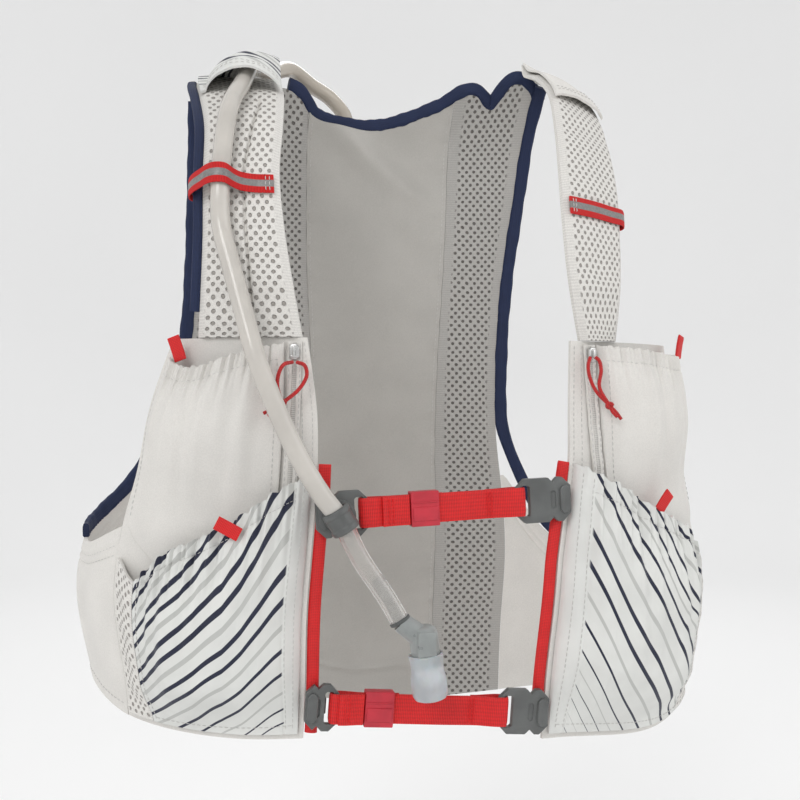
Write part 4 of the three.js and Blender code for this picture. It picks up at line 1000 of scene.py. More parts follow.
def make_back():
    """The smooth back and the mesh strips beside it"""
    s = sizes()
    panel = shell("smooth_back", on_form(back_place("mesh_right", "mesh_left"), back_bulge), s.cloth, 60, 260)
    dress(panel, Vest.finish("back"), ["back_panel"])
    cloth_sheet(panel)
    surface = on_form(back_place("mesh_right", "mesh_left"), back_bulge)
    sides = [line_on(surface, u, np.linspace(0.01, 0.99, 160), 0) for u in (0.025, 0.975)]
    lines = [(line, -normals) for line, normals in sides]
    stitches("back_seams", lines, Vest.finish("thread"))
    strips = (
        ("back_mesh_right", "arm_right", "mesh_right", 26 * MM, 0.5),
        ("back_mesh_left", "mesh_left", "arm_left", 80 * MM, 0.3),
    )
    for name, first, second, width, gain in strips:
        surface = on_form(
            back_place(first, second),
            lambda u, v, angle, z: gain * MM * waves(v, (3, 0.6, 0.2), (7, 0.25, 0.7)) * np.sin(np.pi * u),
        )
        place = back_place(first, second)

        def lay(u, v):
            angle, z = place(u, v)
            return angle / degrees_for(1.0, 165.0, -0.2), z

        edge = edge_distance(width, 0.42, "lr")
        strip = shell(name + "_strip", surface, s.cloth, 36, 160, {"edge": edge}, lay=lay)
        dress(strip, Vest.finish("back mesh"), [name])
        cloth_sheet(strip)


def along_edge(count, at):
    """Stations on a cloth edge with their outward normals"""
    share = np.linspace(0, 1, count + 1)
    angle, z = at(share)
    middle = form(angle, z, sizes().cloth / 2)
    return middle, unit(form(angle, z, MM) - form(angle, z))


def edge_frames(points, normals, sign, offset):
    """Centres and directions of a binding that lies beside an edge"""
    way = unit(np.gradient(points, axis=0))
    normals = unit(normals - way * np.sum(normals * way, -1, keepdims=True))
    side = np.cross(normals, way) * sign
    return points + side * offset, side, normals


def binding(name, node, points, normals, sign, width, thickness, stitch_side=True):
    """A folded navy binding over an edge, with its seam"""
    cover = 1.3 * MM
    offset = 3 * SEAM_GAP + width / 2 - cover / 2
    centres, side, out = edge_frames(points, normals, sign, offset)
    share = np.linspace(0, 1, len(points))
    swell = 1 + 0.05 * waves(share, (9, 1, 0), (23, 0.7, 0.4))
    piece = bar(name, centres, side, out, (width + cover) * swell, thickness * 0.95 * swell, 18, 3.2)
    dress(piece, Vest.finish("navy"), [node])
    seam = centres - side * (width / 2 - 0.4 * MM)
    lift = thickness * 0.42
    for face, sense in (("in", -1), ("out", 1)):
        lines = [(seam + out * sense * lift, out * sense)]
        stitches(f"{name}_seam_{face}", lines, Vest.finish("navy"), 0.4 * MM, 2.6 * MM)
    return piece


def make_bindings():
    """The navy bindings of the neck and the armholes"""
    s = sizes()

    def neck(share):
        angle = mix(202.6, 142.0, share)
        return angle, neck_z(angle)

    points, normals = along_edge(150, neck)
    binding("neck_edge", "neck_binding", points, normals, -1, s.binding_width, 4 * MM)
    edges = {
        "left": ("arm_left", 0.045, 0.545, 238.5, 272, 1),
        "right": ("arm_right", -0.006, 0.615, 146, 98, -1),
    }
    for side, (column, start, end, first, last, sign) in edges.items():

        def armhole(share):
            down = mix(start, end, np.minimum(share, 0.65) / 0.65)
            foot = mix(first, last, (np.maximum(share, 0.65) - 0.65) / 0.35)
            low = share > 0.65
            angle = np.where(low, foot, read(BACK, "down", down, column))
            height = np.where(low, read(SIDE_TOP[side], "angle", foot, "down"), down)
            return angle, -s.vest_height * height

        points, _ = along_edge(18, armhole)
        coarse = np.linspace(0, 1, 19)
        share = np.linspace(0, 1, 121)
        angle, z = armhole(coarse)
        smooth_angle = np.interp(share, coarse, angle)
        smooth_z = np.interp(share, coarse, z)
        for _ in range(6):
            smooth_angle[1:-1] = (smooth_angle[:-2] + 2 * smooth_angle[1:-1] + smooth_angle[2:]) / 4
            smooth_z[1:-1] = (smooth_z[:-2] + 2 * smooth_z[1:-1] + smooth_z[2:]) / 4
        points = form(smooth_angle, smooth_z, s.cloth / 2)
        normals = unit(form(smooth_angle, smooth_z, MM) - form(smooth_angle, smooth_z))
        binding(
            f"armhole_edge_{side}", f"armhole_binding_{side}", points, normals, sign, s.binding_width, 4 * MM
        )


# Sides and fronts
def side_place(side):
    """Angles and heights of a side panel"""
    left = side == "left"

    def place(u, v):
        height = sizes().vest_height
        z = np.full(u.shape, -height * 0.85)
        angle = np.full(u.shape, 90.0)
        for _ in range(5):
            gap = degrees_for(SEAM_GAP / 4, 300.0 if left else 60.0, z)
            back_edge = read(BACK, "down", -z / height, "arm_" + side)
            front_edge = read(FRONT, "down", -z / height, side + "_out")
            if left:
                angle = mix(back_edge + gap, front_edge - gap, u)
            else:
                angle = mix(front_edge + gap, back_edge - gap, u)
            z = mix(hem_z(angle), -height * read(SIDE_TOP[side], "angle", angle, "down"), v)
        return angle, z

    return place


def make_sides():
    """The side panels, with the two folds sewn below the armhole"""
    s = sizes()
    for side in ("left", "right"):
        length = 95 * MM

        def folds(u, v, angle, z):
            below = (1 - v) * length
            sewn = 0.8 * MM * (bump_at(9 * MM, 1.0 * MM, below) + bump_at(14 * MM, 1.0 * MM, below))
            soft = 1.1 * MM * waves(u, (3.2, 1, 0.3), (5.1, 0.5, 0.1)) * np.sin(np.pi * v) ** 0.7
            return soft * np.sin(np.pi * u) - sewn + hem_relief(u, v, 0.15, length, "b")

        surface = on_form(side_place(side), folds)
        panel = shell(f"side_cloth_{side}", surface, s.cloth, 110, 80)
        dress(panel, Vest.finish("cloth"), [f"side_panel_{side}"])
        cloth_sheet(panel)
        lines = [line_on(surface, np.linspace(0.02, 0.98, 60), 1 - below * MM / length, s.cloth) for below in (9, 14)]
        lines.append(line_on(surface, np.linspace(0.02, 0.98, 60), 5 * MM / length, s.cloth))
        stitches(f"side_seams_{side}", lines, Vest.finish("thread"))


def front_place(side):
    """Angles and heights of a front panel"""
    left = side == "left"

    def place(u, v):
        height = sizes().vest_height
        top = -height * STRAP_FOOT_DOWN - SEAM_GAP
        z = np.full(u.shape, -height * 0.7)
        angle = np.zeros(u.shape)
        for _ in range(4):
            gap = degrees_for(SEAM_GAP / 4, 300.0 if left else 60.0, z)
            edge = read(FRONT, "down", -z / height, side)
            outer = read(FRONT, "down", -z / height, side + "_out") + (gap if left else -gap)
            angle = mix(edge, outer, u)
            z = mix(hem_z(angle), top, v)
        return angle, z

    return place


def make_fronts():
    """The front panels that the pockets are sewn on, with the stitched edge of the opening"""
    s = sizes()
    for side in ("left", "right"):
        surface = on_form(
            front_place(side), lambda u, v, angle, z: hem_relief(u, v, 0.075, 0.22, "l", 0.2 * MM, 6 * MM)
        )
        panel = shell(f"front_cloth_{side}", surface, s.cloth, 60, 90)
        dress(panel, Vest.finish("cloth"), [f"front_panel_{side}"])
        cloth_sheet(panel)
        lines = [line_on(surface, u, np.linspace(0.01, 0.99, 90), s.cloth) for u in (0.022, 0.07)]
        stitches(f"front_seams_{side}", lines, Vest.finish("thread"))


# Pockets
POCKET_DEPTH = {"upper": 17 * MM, "lower": 20 * MM, "gusset": 8 * MM, "pouch": 24 * MM}
UPPER_SEAM = {"left": 333.0, "right": 34.4}
UPPER_FOOT_DOWN = 0.77
GUSSET_RIM = {"left": 307.0, "right": 60.0}
GUSSET_FOOT = {"left": 299.6, "right": 69.6}
HEM_MARGIN = 3 * MM
CASING = 8 * MM


def seat():
    """Height of the pockets' inner face over the form"""
    return sizes().cloth + LAYER_GAP


def ripple(u, shift):
    """Uneven gathers along a mouth"""
    bent = u + 0.011 * np.sin(9 * u + 3 * shift)
    return waves(bent, (15, 1, shift), (23, 0.6, 2.3 * shift), (37, 0.35, 0.7 + shift)) / 1.6


def make_pouch():
    """The plain pouch behind the back, sewn at its sides and foot"""
    s = sizes()

    def place(u, v):
        return mix(154.0, 224.0, u), mix(-s.vest_height, -s.vest_height * 0.09, v)

    def bulge(u, v, angle, z):
        across = np.minimum(1, 2.4 * np.sin(np.pi * np.clip(u, 0, 1)))
        up = ramp(-0.02, 0.2, v) * (1 - 0.3 * v) * (1 - 0.5 * ramp(0.75, 1, v))
        soft = 0.9 * MM * waves(v + 0.2 * u, (2.4, 1, 0.2), (4.3, 0.6, 0.5)) * np.sin(np.pi * u)
        return s.cloth + 1.2 * MM + POCKET_DEPTH["pouch"] * across * up + soft * ramp(1, 0.8, v)

    piece = shell("pouch_cloth", on_form(place, bulge), s.cloth, 80, 120)
    dress(piece, Vest.finish("cloth"), ["back_compartment"])
    cloth_sheet(piece)


def upper_place(side):
    """Angles and heights of an upper pocket"""
    way = -1 if side == "left" else 1

    def place(u, v):
        height = sizes().vest_height
        mouth = -height * read(UPPER_MOUTH, "across", u, side)
        z = mix(-height * UPPER_FOOT_DOWN, mouth, v)
        down = -z / height
        edge = read(FRONT, "down", np.clip(down, UPPER_MOUTH[0][side], 0.66), side + "_out")
        inset = (4 + 24 * ramp(0.68, 0.76, down)) * MM
        lift = 0.7 * MM * ripple(u, 0.15) * ramp(0.9, 1, v)
        return mix(UPPER_SEAM[side], edge - way * degrees_for(inset, edge, z), u), z + lift

    return place


def upper_bulge(shift):
    """The puff of an upper pocket, with gathers at its mouth"""

    def bulge(u, v, angle, z):
        across = np.sin(np.pi * np.clip(u, 0, 1)) ** 0.7
        up = 0.22 * ramp(0, 0.3, v) + 0.78 * ramp(0.3, 0.75, v) - 0.15 * ramp(0.8, 1, v)
        gathers = sizes().gather * ripple(u, shift) * ramp(0.74, 1, v) ** 1.4
        casing = -0.7 * MM * bump_at(0.935, 0.008, v)
        creases = 0.8 * MM * waves(u + 0.1 * v, (4.2, 1, shift), (7.1, 0.6, 0.3)) * ramp(0.2, 0.85, v)
        return seat() + POCKET_DEPTH["upper"] * across * up + (gathers + creases) * across**0.4 + casing * across

    return bulge


def make_upper_pockets():
    """The plain pockets of the upper front"""
    s = sizes()
    for side, shift in (("left", 0.1), ("right", 0.6)):
        surface = on_form(upper_place(side), upper_bulge(shift))
        piece = shell(f"upper_pocket_cloth_{side}", surface, s.pocket_cloth, 130, 100)
        dress(piece, Vest.finish("cloth"), [f"upper_pocket_{side}"])
        cloth_sheet(piece)
        mouth = line_on(surface, np.linspace(0.03, 0.97, 90), 0.937, s.pocket_cloth)
        seams = [line_on(surface, u, np.linspace(0.3, 0.93, 70), s.pocket_cloth) for u in (0.04, 0.965)]
        stitches(f"upper_pocket_seams_{side}", [mouth, *seams], Vest.finish("thread"))


# The printed stripes: where each lies on the photograph's plane, in millimetres from a corner
STRIPES = {
    "left": {
        "corner": (318, 735),
        "across": (0, 8, 15, 23, 30, 40, 50, 65, 80, 97, 112),
        "rise": (78, 66, 55, 42, 29, 13, 0, -14, -25, -34, -41),
        "rows": (133, 121, 110, 98, 88, 77, 65, 54, 43, 33, 24, 15.5, 7, 0, -6, -11, -16, -21, -26),
        "weights": ((4, 7, 10, 13), (0.36, 0.28, 0.18, 0.12)),
    },
    "right": {
        "corner": (548, 735),
        "across": (-8, 0, 7, 17, 24, 33, 42, 50, 57, 68, 75, 90, 102),
        "rise": (118, 102, 88, 65, 52, 34, 15, 0, -13, -37, -52, -84, -110),
        "rows": (146, 138, 130, 118, 110, 101, 87, 70, 52, 33, 15, -2, -20, -33, -45, -57, -69, -81, -93),
        "weights": ((7, 9, 10, 12, 13), (0.23, 0.15, 0.11, 0.08, 0.06)),
    },
}
PHOTO_STEP = 1.93


def stripe_count(side, points, kink):
    """Which stripe each point lies on, as a count with its fraction"""
    marks = STRIPES[side]
    x, y = sight(points)
    sign = -1 if side == "left" else 1
    across = sign * (x - marks["corner"][0]) / PHOTO_STEP
    up = (marks["corner"][1] - y) / PHOTO_STEP + kink
    rise = np.interp(across, marks["across"], marks["rise"])
    level = (up - 0.44 * rise) / (1 + 0.00862 * rise) if side == "left" else up - rise
    rows = np.array(marks["rows"])[::-1]
    return np.interp(level, rows, np.arange(len(rows))[::-1] - 2.0)


def lower_place(side):
    """Angles and heights of a lower pocket"""
    way = -1 if side == "left" else 1

    def place(u, v):
        height = sizes().vest_height
        z = np.full(u.shape, -height * 0.85)
        angle = np.full(u.shape, GUSSET_RIM[side])
        mouth = -height * read(LOWER_MOUTH, "across", u, side)
        for _ in range(3):
            edge = read(FRONT, "down", -z / height, side)
            inner = edge + way * degrees_for(2.6 * MM, edge, z)
            angle = mix(inner, GUSSET_RIM[side], u)
            z = mix(hem_z(angle) + HEM_MARGIN, mouth, v)
        lift = 1.1 * MM * ripple(u, 0.45) * ramp(0.9, 1, v)
        return angle, z + lift * ramp(0, 0.06, u)

    return place


def lower_bulge(shift, gathers=1.0):
    """The full lower pocket: a deep sheet with a wall at its outer side and ruffles at its mouth"""

    def bulge(u, v, angle, z):
        across = np.minimum(1, 1.7 * np.sin(np.pi * np.minimum(1, u * 0.86)) ** 0.75)
        wall = POCKET_DEPTH["gusset"] * ramp(0.75, 1, u)
        up = ramp(-0.02, 0.3, v) * (1 - 0.2 * ramp(0.6, 1, v))
        sheet = POCKET_DEPTH["lower"] * across * (1 - ramp(0.7, 1, u))
        inside = ramp(0, 0.1, u) * ramp(1, 0.93, u)
        ruffle = 1.25 * sizes().gather * ripple(u, shift) * ramp(0.6, 1, v) ** 1.3
        folds = 0.9 * MM * waves(u + 0.15 * v, (6.3, 1, shift), (9.7, 0.7, 0.2)) * ramp(0.1, 0.8, v)
        casing = -0.8 * MM * bump_at(0.925, 0.009, v)
        placket = -0.6 * MM * bump_at(0.082, 0.007, u)
        return seat() + (sheet + wall) * up + gathers * (ruffle + folds + casing) * inside + placket

    return bulge


def make_lower_pockets():
    """The striped pockets of the lower front"""
    s = sizes()
    for side, shift in (("left", 0.3), ("right", 0.8)):
        surface = on_form(lower_place(side), lower_bulge(shift))

        smooth = on_form(lower_place(side), lower_bulge(shift, 0.5))

        def count(u, v):
            near = np.minimum(u, 0.62)
            kink = 0.6 * waves(near, (13, 1, shift), (21, 0.5, 0.3)) * ramp(0.55, 1, v) + 0.5 * waves(near, (3.3, 1, 0.2))
            seen = stripe_count(side, smooth(near, v, 0 * u + s.pocket_cloth), kink)
            ends = [stripe_count(side, smooth(0 * u + at, v, 0 * u + s.pocket_cloth), 0) for at in (0.42, 0.62)]
            slope = np.median(ends[1] - ends[0]) / 0.2
            return seen + np.maximum(u - 0.62, 0) * slope

        def weight(u, v):
            return np.interp(count(u, v), *STRIPES[side]["weights"])

        floats = {"stripe": count, "weight": weight, "inked": lambda u, v: ramp(0.078, 0.084, u)}
        piece = shell(f"lower_pocket_cloth_{side}", surface, s.pocket_cloth, 180, 120, floats)
        dress(piece, Vest.finish("striped"), [f"lower_pocket_{side}"])
        cloth_sheet(piece)
        lines = [line_on(surface, np.linspace(0.08, 0.99, 120), 0.927, s.pocket_cloth)]
        lines += [line_on(surface, u, np.linspace(0.02, 0.98, 80), s.pocket_cloth) for u in (0.03, 0.07, 0.97)]
        lines.append(line_on(surface, np.linspace(0.03, 0.97, 90), 0.035, s.pocket_cloth))
        stitches(f"lower_pocket_seams_{side}", lines, Vest.finish("thread"))


def make_gussets():
    """The mesh at the outer foot of the lower pockets"""
    s = sizes()
    for side in ("left", "right"):
        way = -1 if side == "left" else 1
        low = 0.735 if side == "left" else 0.815

        def place(u, v):
            rim = GUSSET_RIM[side] + way * degrees_for(SEAM_GAP, GUSSET_RIM[side], -s.vest_height * 0.85)
            angle = mix(rim, GUSSET_FOOT[side], u)
            top = -s.vest_height * mix(read(LOWER_MOUTH, "across", 1, side), low, u)
            return angle, mix(hem_z(angle) + HEM_MARGIN, top, v)

        def bulge(u, v, angle, z):
            rise = ramp(1, 0, u) * ramp(-0.02, 0.3, v) * (1 - 0.2 * ramp(0.6, 1, v))
            return seat() + POCKET_DEPTH["gusset"] * rise + 0.5 * MM * waves(v, (5, 1, 0.1)) * ramp(0, 0.4, u)

        edge = edge_distance(20 * MM, 80 * MM, "lrtb")
        piece = shell(
            f"gusset_mesh_{side}", on_form(place, bulge), s.pocket_cloth, 30, 90,
            {"edge": lambda u, v: edge(u, v) + 2.4},
        )
        dress(piece, Vest.finish("mesh"), [f"mesh_gusset_{side}"])
        cloth_sheet(piece)


# Shoulders
STRAP_CROWN = 1.5 * MM
YOKE_CLOTH = 1.4 * MM
SLIT = ((0, 0.11, 0.22, 0.33, 0.44, 0.5), (0.43, 0.45, 0.46, 0.455, 0.38, 0.3))


def strap_rows(side):
    """The inner and outer edges of a shoulder strap and its tilts, row by row"""
    s = sizes()
    rise = 5 * SEAM_GAP + (0 if side == "left" else s.binding_width)
    foot_z = -s.vest_height * STRAP_FOOT_DOWN
    scale = np.array([s.half_width, s.front_depth, -s.vest_height])
    rows = [(*(form(angle, foot_z) for angle in STRAP_FOOT[side]), 0.0)]
    for row in STRAP[side]:
        inner = scale * np.array([row["in_x"], row["in_y"], row["in_down"]])
        outer = scale * np.array([row["out_x"], row["out_y"], row["out_down"]])
        rows.append((inner, outer, row["tilt"]))
    rows.append((*(form(angle, neck_z(angle) + rise) for angle in STRAP_HEAD[side]), 118.0))
    return [np.array(column) for column in zip(*rows)]


def on_strap(side, u, v, out):
    """Points of a strap: shares across and along it, and the height over its underside"""
    inner, outer, tilt = strap_rows(side)
    u, v, out = np.broadcast_arrays(*(np.asarray(x, float) for x in (u, v, out)))
    last = len(inner) - 1
    run = v * last
    i = np.clip(np.floor(run).astype(int), 0, last - 1)
    f = (run - i)[..., None]
    weights = (
        -0.5 * f + f**2 - 0.5 * f**3,
        1 - 2.5 * f**2 + 1.5 * f**3,
        0.5 * f + 2 * f**2 - 1.5 * f**3,
        -0.5 * f**2 + 0.5 * f**3,
    )
    first, second = (
        sum(w * rows[np.clip(i + k - 1, 0, last)] for k, w in enumerate(weights)) for rows in (inner, outer)
    )
    across = unit(second - first)
    turn = np.radians(mix(tilt[i], tilt[i + 1], f[..., 0]))
    normal = np.stack([0 * turn, -np.cos(turn), np.sin(turn)], -1)
    normal = unit(normal - across * np.sum(normal * across, -1, keepdims=True))
    height = out + STRAP_CROWN * 4 * u * (1 - u)
    return mix(first, second, u[..., None]) + normal * height[..., None]


def strap_edge(side):
    """Millimetres to the nearest long edge of a strap"""

    def at(u, v):
        wide = np.linalg.norm(on_strap(side, 1, v, 0) - on_strap(side, 0, v, 0), axis=-1)
        return np.minimum(u, 1 - u) * wide / MM

    return at


def make_straps():
    """The padded mesh straps, with the left one's slit and bound outer edge"""
    s = sizes()
    for side in ("left", "right"):
        away = strap_edge(side)

        def surface(u, v, out):
            near = away(u, v)
            puff = mix(0.55, 1.0, ramp(0, 4, near))
            quilt = 0.35 * MM * waves(v, (9, 1, 0.2), (14, 0.6, 0.6)) * ramp(0, 8, near)
            slit = 0.0
            if side == "left":
                line = np.interp(v, *SLIT)
                slit = -2.7 * MM * bump_at(0, 0.017, u - line) * ramp(0.56, 0.48, v)
            top = ramp(0, s.strap_pad, out)
            return on_strap(side, u, v, mix(0.25 * MM * (1 - puff), s.strap_pad * puff + quilt + slit, top))

        piece = shell(f"strap_pad_{side}", surface, s.strap_pad, 60, 260, {"edge": away}, 60)
        dress(piece, Vest.finish("mesh"), [f"shoulder_strap_{side}"])
    share = np.linspace(0.06, 0.72, 90)
    centre = on_strap("left", 1, share, s.strap_pad / 2)
    ahead = unit(np.gradient(centre, axis=0))
    side_way = centre - on_strap("left", 0.9, share, s.strap_pad / 2)
    side_way = unit(side_way - ahead * np.sum(side_way * ahead, -1, keepdims=True))
    centre = centre + side_way * (2 * SEAM_GAP + 2.5 * MM - 0.5 * MM)
    piece = bar("strap_edge_left", centre, side_way, np.cross(side_way, ahead), 5.4 * MM, s.strap_pad * 0.9, 18, 3)
    dress(piece, Vest.finish("navy"), ["strap_binding_left"])


YOKE_SPAN = {"left": (0.56, 0.905), "right": (0.6, 0.975)}


def make_yokes():
    """The cloth on the shoulder tops; the striped one arches over the hose"""
    s = sizes()
    for side in ("left", "right"):
        start, end = YOKE_SPAN[side]

        def surface(u, v, out):
            cover = 0.0
            if side == "left":
                away = np.abs(u - read(ARCH, "along", v, "centre")) / ARCH_REACH
                cover = (s.hose + 5 * LAYER_GAP) * np.cos(np.pi / 2 * np.minimum(1, away)) ** 0.6
            else:
                cover = 3.2 * MM * ramp(0.3, 0, v) * np.sin(np.pi * np.clip(u, 0, 1)) ** 0.6
            soft = 0.5 * MM * waves(v + 0.3 * u, (4, 1, 0.1), (7, 0.6, 0.4)) * np.sin(np.pi * np.clip(u, 0, 1))
            height = s.strap_pad + LAYER_GAP + cover + np.maximum(soft, -0.3 * MM) + out
            return on_strap(side, mix(0.02, 0.98, u), mix(start, end, v), height)

        if side == "left":
            floats = {
                "stripe": lambda u, v: 1.0 + 9 * v - 1.2 * u,
                "weight": lambda u, v: 0.42 + 0 * u,
                "inked": lambda u, v: ramp(0.12, 0.14, v),
            }
            piece = shell("striped_yoke", surface, YOKE_CLOTH, 70, 70, floats)
            dress(piece, Vest.finish("striped"), ["shoulder_yoke_left"])
        else:
            piece = shell("plain_yoke", surface, YOKE_CLOTH, 70, 70)
            dress(piece, Vest.finish("cloth"), ["shoulder_yoke_right"])
        cloth_sheet(piece)
        lines = [line_on(surface, np.linspace(0.03, 0.97, 60), v, YOKE_CLOTH) for v in (0.06, 0.1)]
        stitches(f"yoke_seam_{side}", lines, Vest.finish("thread"))


def ribbon(name, path, thickness, width, to_world, count, across=10):
    """A flat ribbon: its path in two coordinates, its width in the third"""
    line, length = spline([(a, b, 0) for a, b in path], count + 1)
    way = unit(np.gradient(line, axis=0))
    normal = np.stack([-way[:, 1], way[:, 0]], -1)

    def surface(u, v, out):
        i = np.rint(v * count).astype(int)
        rim = 1 - 0.5 * np.abs(2 * u - 1) ** 6
        off = (out - thickness / 2) * rim
        return to_world(line[i, 0] + normal[i, 0] * off, line[i, 1] + normal[i, 1] * off, (u - 0.5) * width)

    piece = shell(name, surface, thickness, across, count, sharp=70)
    return piece, line


def make_loops():
    """The ribbon loops round the straps"""
    s = sizes()
    thick = 1 * MM
    over, under = s.strap_pad + LAYER_GAP + thick / 2, -LAYER_GAP - thick / 2
    top = s.strap_pad + 2 * LAYER_GAP + s.hose + thick / 2
    edge = 5 * MM + 2 * SEAM_GAP
    for side, v in (("left", 0.306), ("right", 0.287)):
        wide = float(np.linalg.norm(on_strap(side, 0, v, 0) - on_strap(side, 1, v, 0)))
        rise = float(np.linalg.norm(on_strap(side, 0.5, v + 0.01, 0) - on_strap(side, 0.5, v - 0.01, 0)) / 0.02)
        if side == "left":
            path = [
                (0.06 * wide, over), (0.3 * wide, over), (0.46 * wide, over + 2 * MM), (0.54 * wide, 0.66 * top),
                (0.62 * wide, top), (0.74 * wide, top + 1.2 * MM), (0.86 * wide, 0.98 * top),
                (0.96 * wide, 0.78 * top), (wide + edge * 0.75, 0.5 * top), (wide + edge + 1.5 * MM, 4 * MM),
                (wide + edge + 1.5 * MM, 0.5 * MM), (wide + edge * 0.8, under), (0.8 * wide, under),
                (0.5 * wide, under), (0.06 * wide, under),
            ]
        else:
            path = [
                (0.04 * wide, over), (0.25 * wide, over), (0.5 * wide, over), (0.75 * wide, over),
                (0.97 * wide, over + 0.5 * MM), (wide + 2.6 * MM, 3.2 * MM), (wide + 2.6 * MM, 0.6 * MM),
                (0.97 * wide, under), (0.75 * wide, under), (0.5 * wide, under), (0.25 * wide, under),
                (0.04 * wide, under),
            ]

        def to_world(a, b, c):
            return on_strap(side, a / wide, v + c / rise, b)

        piece, line = ribbon(f"loop_ribbon_{side}", path, thick, LOOP_WIDTH, to_world, 120)
        dress(piece, Vest.finish("loop"), [f"strap_loop_{side}"])
        share = np.linspace(-0.42, 0.42, 20) * LOOP_WIDTH
        rows = []
        for a in (line[0, 0] + 2 * MM, line[0, 0] + 4 * MM):
            low, high = to_world(a, over + 0.5 * MM, share), to_world(a, over + 1.5 * MM, share)
            rows.append((low, unit(high - low)))
        stitches(f"loop_seam_{side}", rows, Vest.finish("thread"), 0.5 * MM, 2.6 * MM)


# Zips and tabs
ZIP_ANGLE = {"left": 334.9, "right": 32.6}
ZIP_WIDTH = 7 * MM
ZIP_TAPE = 1.6 * MM


def make_zips():
    """The zip tapes with their coils"""
    s = sizes()
    top = -s.vest_height * STRAP_FOOT_DOWN - SEAM_GAP
    for side in ("left", "right"):
        middle = ZIP_ANGLE[side]

        def place(u, v):
            z = mix(top - 84 * MM, top - 2 * MM, v)
            return middle + degrees_for((u - 0.5) * ZIP_WIDTH, middle, z), z

        surface = on_form(
            place, lambda u, v, angle, z: seat() - 0.5 * MM * bump_at(0.5, 0.2, u) + 0.2 * MM * waves(v, (6, 1, 0))
        )
        tape = shell(f"zip_tape_{side}", surface, ZIP_TAPE * 0.8, 20, 70)
        dress(tape, Vest.finish("cloth"), [f"zipper_{side}"])
        line, normals = line_on(surface, 0.5, np.linspace(0.01, 0.99, 80), ZIP_TAPE * 0.8)
        centres, across, out = edge_frames(line, normals, 1, 0.0)
        coil = bar(f"zip_coil_{side}", centres + out * 0.2 * MM, across, out, 2.4 * MM, 1.1 * MM, 12, 2.2)
        dress(coil, Vest.finish("coil"), [])
        lines = [line_on(surface, u, np.linspace(0.01, 0.99, 60), ZIP_TAPE * 0.8) for u in (0.1, 0.9)]
        stitches(f"zip_seams_{side}", lines, Vest.finish("thread"))


def surface_frame(angle, z, out, roll=0.0):
    """A frame on the form: X along the ring, Y up, Z outwards, turned by a roll"""
    normal = unit(form(angle, z, MM) - form(angle, z))
    up = np.array([0.0, 0.0, 1.0])
    across = unit(np.cross(up, normal))
    turn = Matrix.Identity(4)
    for k, column in enumerate((across, up, normal, form(angle, z, out))):
        for row in range(3):
            turn[row][k] = float(column[row])
    return turn @ Matrix.Rotation(math.radians(roll), 4, "Z")


TABS = table(
    "name angle down out roll",
    ("upper_left", 311, 0.455, 9.4, 18),
    ("upper_right", 61.6, 0.444, 13, -12),
    ("lower_left", 326.6, 0.684, 22.6, 62),
    ("lower_right", 44.5, 0.666, 16.5, -42),
)


def flat_tab(name, turn, width, long, thickness, bend, nodes):
    """A small ribbon folded in two, standing off a little at its free end"""
    share = np.linspace(-0.5, 0.5, 26)
    local = np.stack([0 * share, share * long, thickness / 2 + bend * (share + 0.5) ** 2], -1)
    base = np.array(turn)
    centres = local @ base[:3, :3].T + base[:3, 3]
    way = unit(np.gradient(centres, axis=0))
    across = np.repeat(base[None, :3, 0], len(share), 0)
    fold = 1 - 0.4 * ramp(0.42, 0.5, np.abs(share))
    piece = bar(name, centres, across, np.cross(across, way), width, thickness * fold, 24, 5)
    return dress(piece, Vest.finish("tab"), nodes)


def make_tabs():
    """The red tabs at the pocket mouths"""
    height = sizes().vest_height
    for row in TABS:
        turn = surface_frame(row["angle"], -height * row["down"], row["out"] * MM, row["roll"])
        flat_tab(
            f"tab_{row['name']}", turn, 7 * MM, 13 * MM, 1.6 * MM, 1.0 * MM, [f"pocket_tab_{row['name']}"]
        )


RAIL_WIDTH = 6.4 * MM
RAIL_THICKNESS = 4 * MM
RAIL_TOP, RAIL_FOOT = 0.643, 0.955


def rail_point(side, z, out):
    """The middle of the cord rail at a height"""
    edge = read(FRONT, "down", -z / sizes().vest_height, side)
    beside = degrees_for(2 * SEAM_GAP + RAIL_WIDTH / 2, edge, z)
    return form(edge + (beside if side == "left" else -beside), z, out)


def make_rails():
    """The red rails along the opening, each with a tab over its upper end"""
    s = sizes()
    for side in ("left", "right"):
        z = -s.vest_height * np.linspace(RAIL_TOP, RAIL_FOOT, 90)
        centre = rail_point(side, z, s.cloth / 2)
        ahead = unit(np.gradient(centre, axis=0))
        depth = rail_point(side, z, s.cloth) - rail_point(side, z, 0)
        depth = unit(depth - ahead * np.sum(depth * ahead, -1, keepdims=True))
        piece = bar(f"cord_rail_{side}", centre, np.cross(depth, ahead), depth, RAIL_WIDTH, RAIL_THICKNESS, 24, 2.5)
        dress(piece, Vest.finish("tab"), [f"rail_{side}"])
        tab_z = -s.vest_height * RAIL_TOP + 7 * MM + SEAM_GAP
        edge = float(read(FRONT, "down", -tab_z / s.vest_height, side))
        beside = float(degrees_for(2 * SEAM_GAP + RAIL_WIDTH / 2, edge, tab_z))
        angle = edge + (beside if side == "left" else -beside)
        lift = rail_point(side, tab_z + MM, MM) - rail_point(side, tab_z - MM, MM)
        ring = unit(form(angle + 0.5, tab_z) - form(angle - 0.5, tab_z))
        roll = -math.degrees(math.atan2(float(lift @ ring), float(lift[2])))
        turn = surface_frame(angle, tab_z, 0.0, roll)
        flat_tab(
            f"rail_end_{side}", turn, RAIL_WIDTH, 14 * MM, RAIL_THICKNESS * 0.8, 0.0, [f"rail_tab_{side}"]
        )


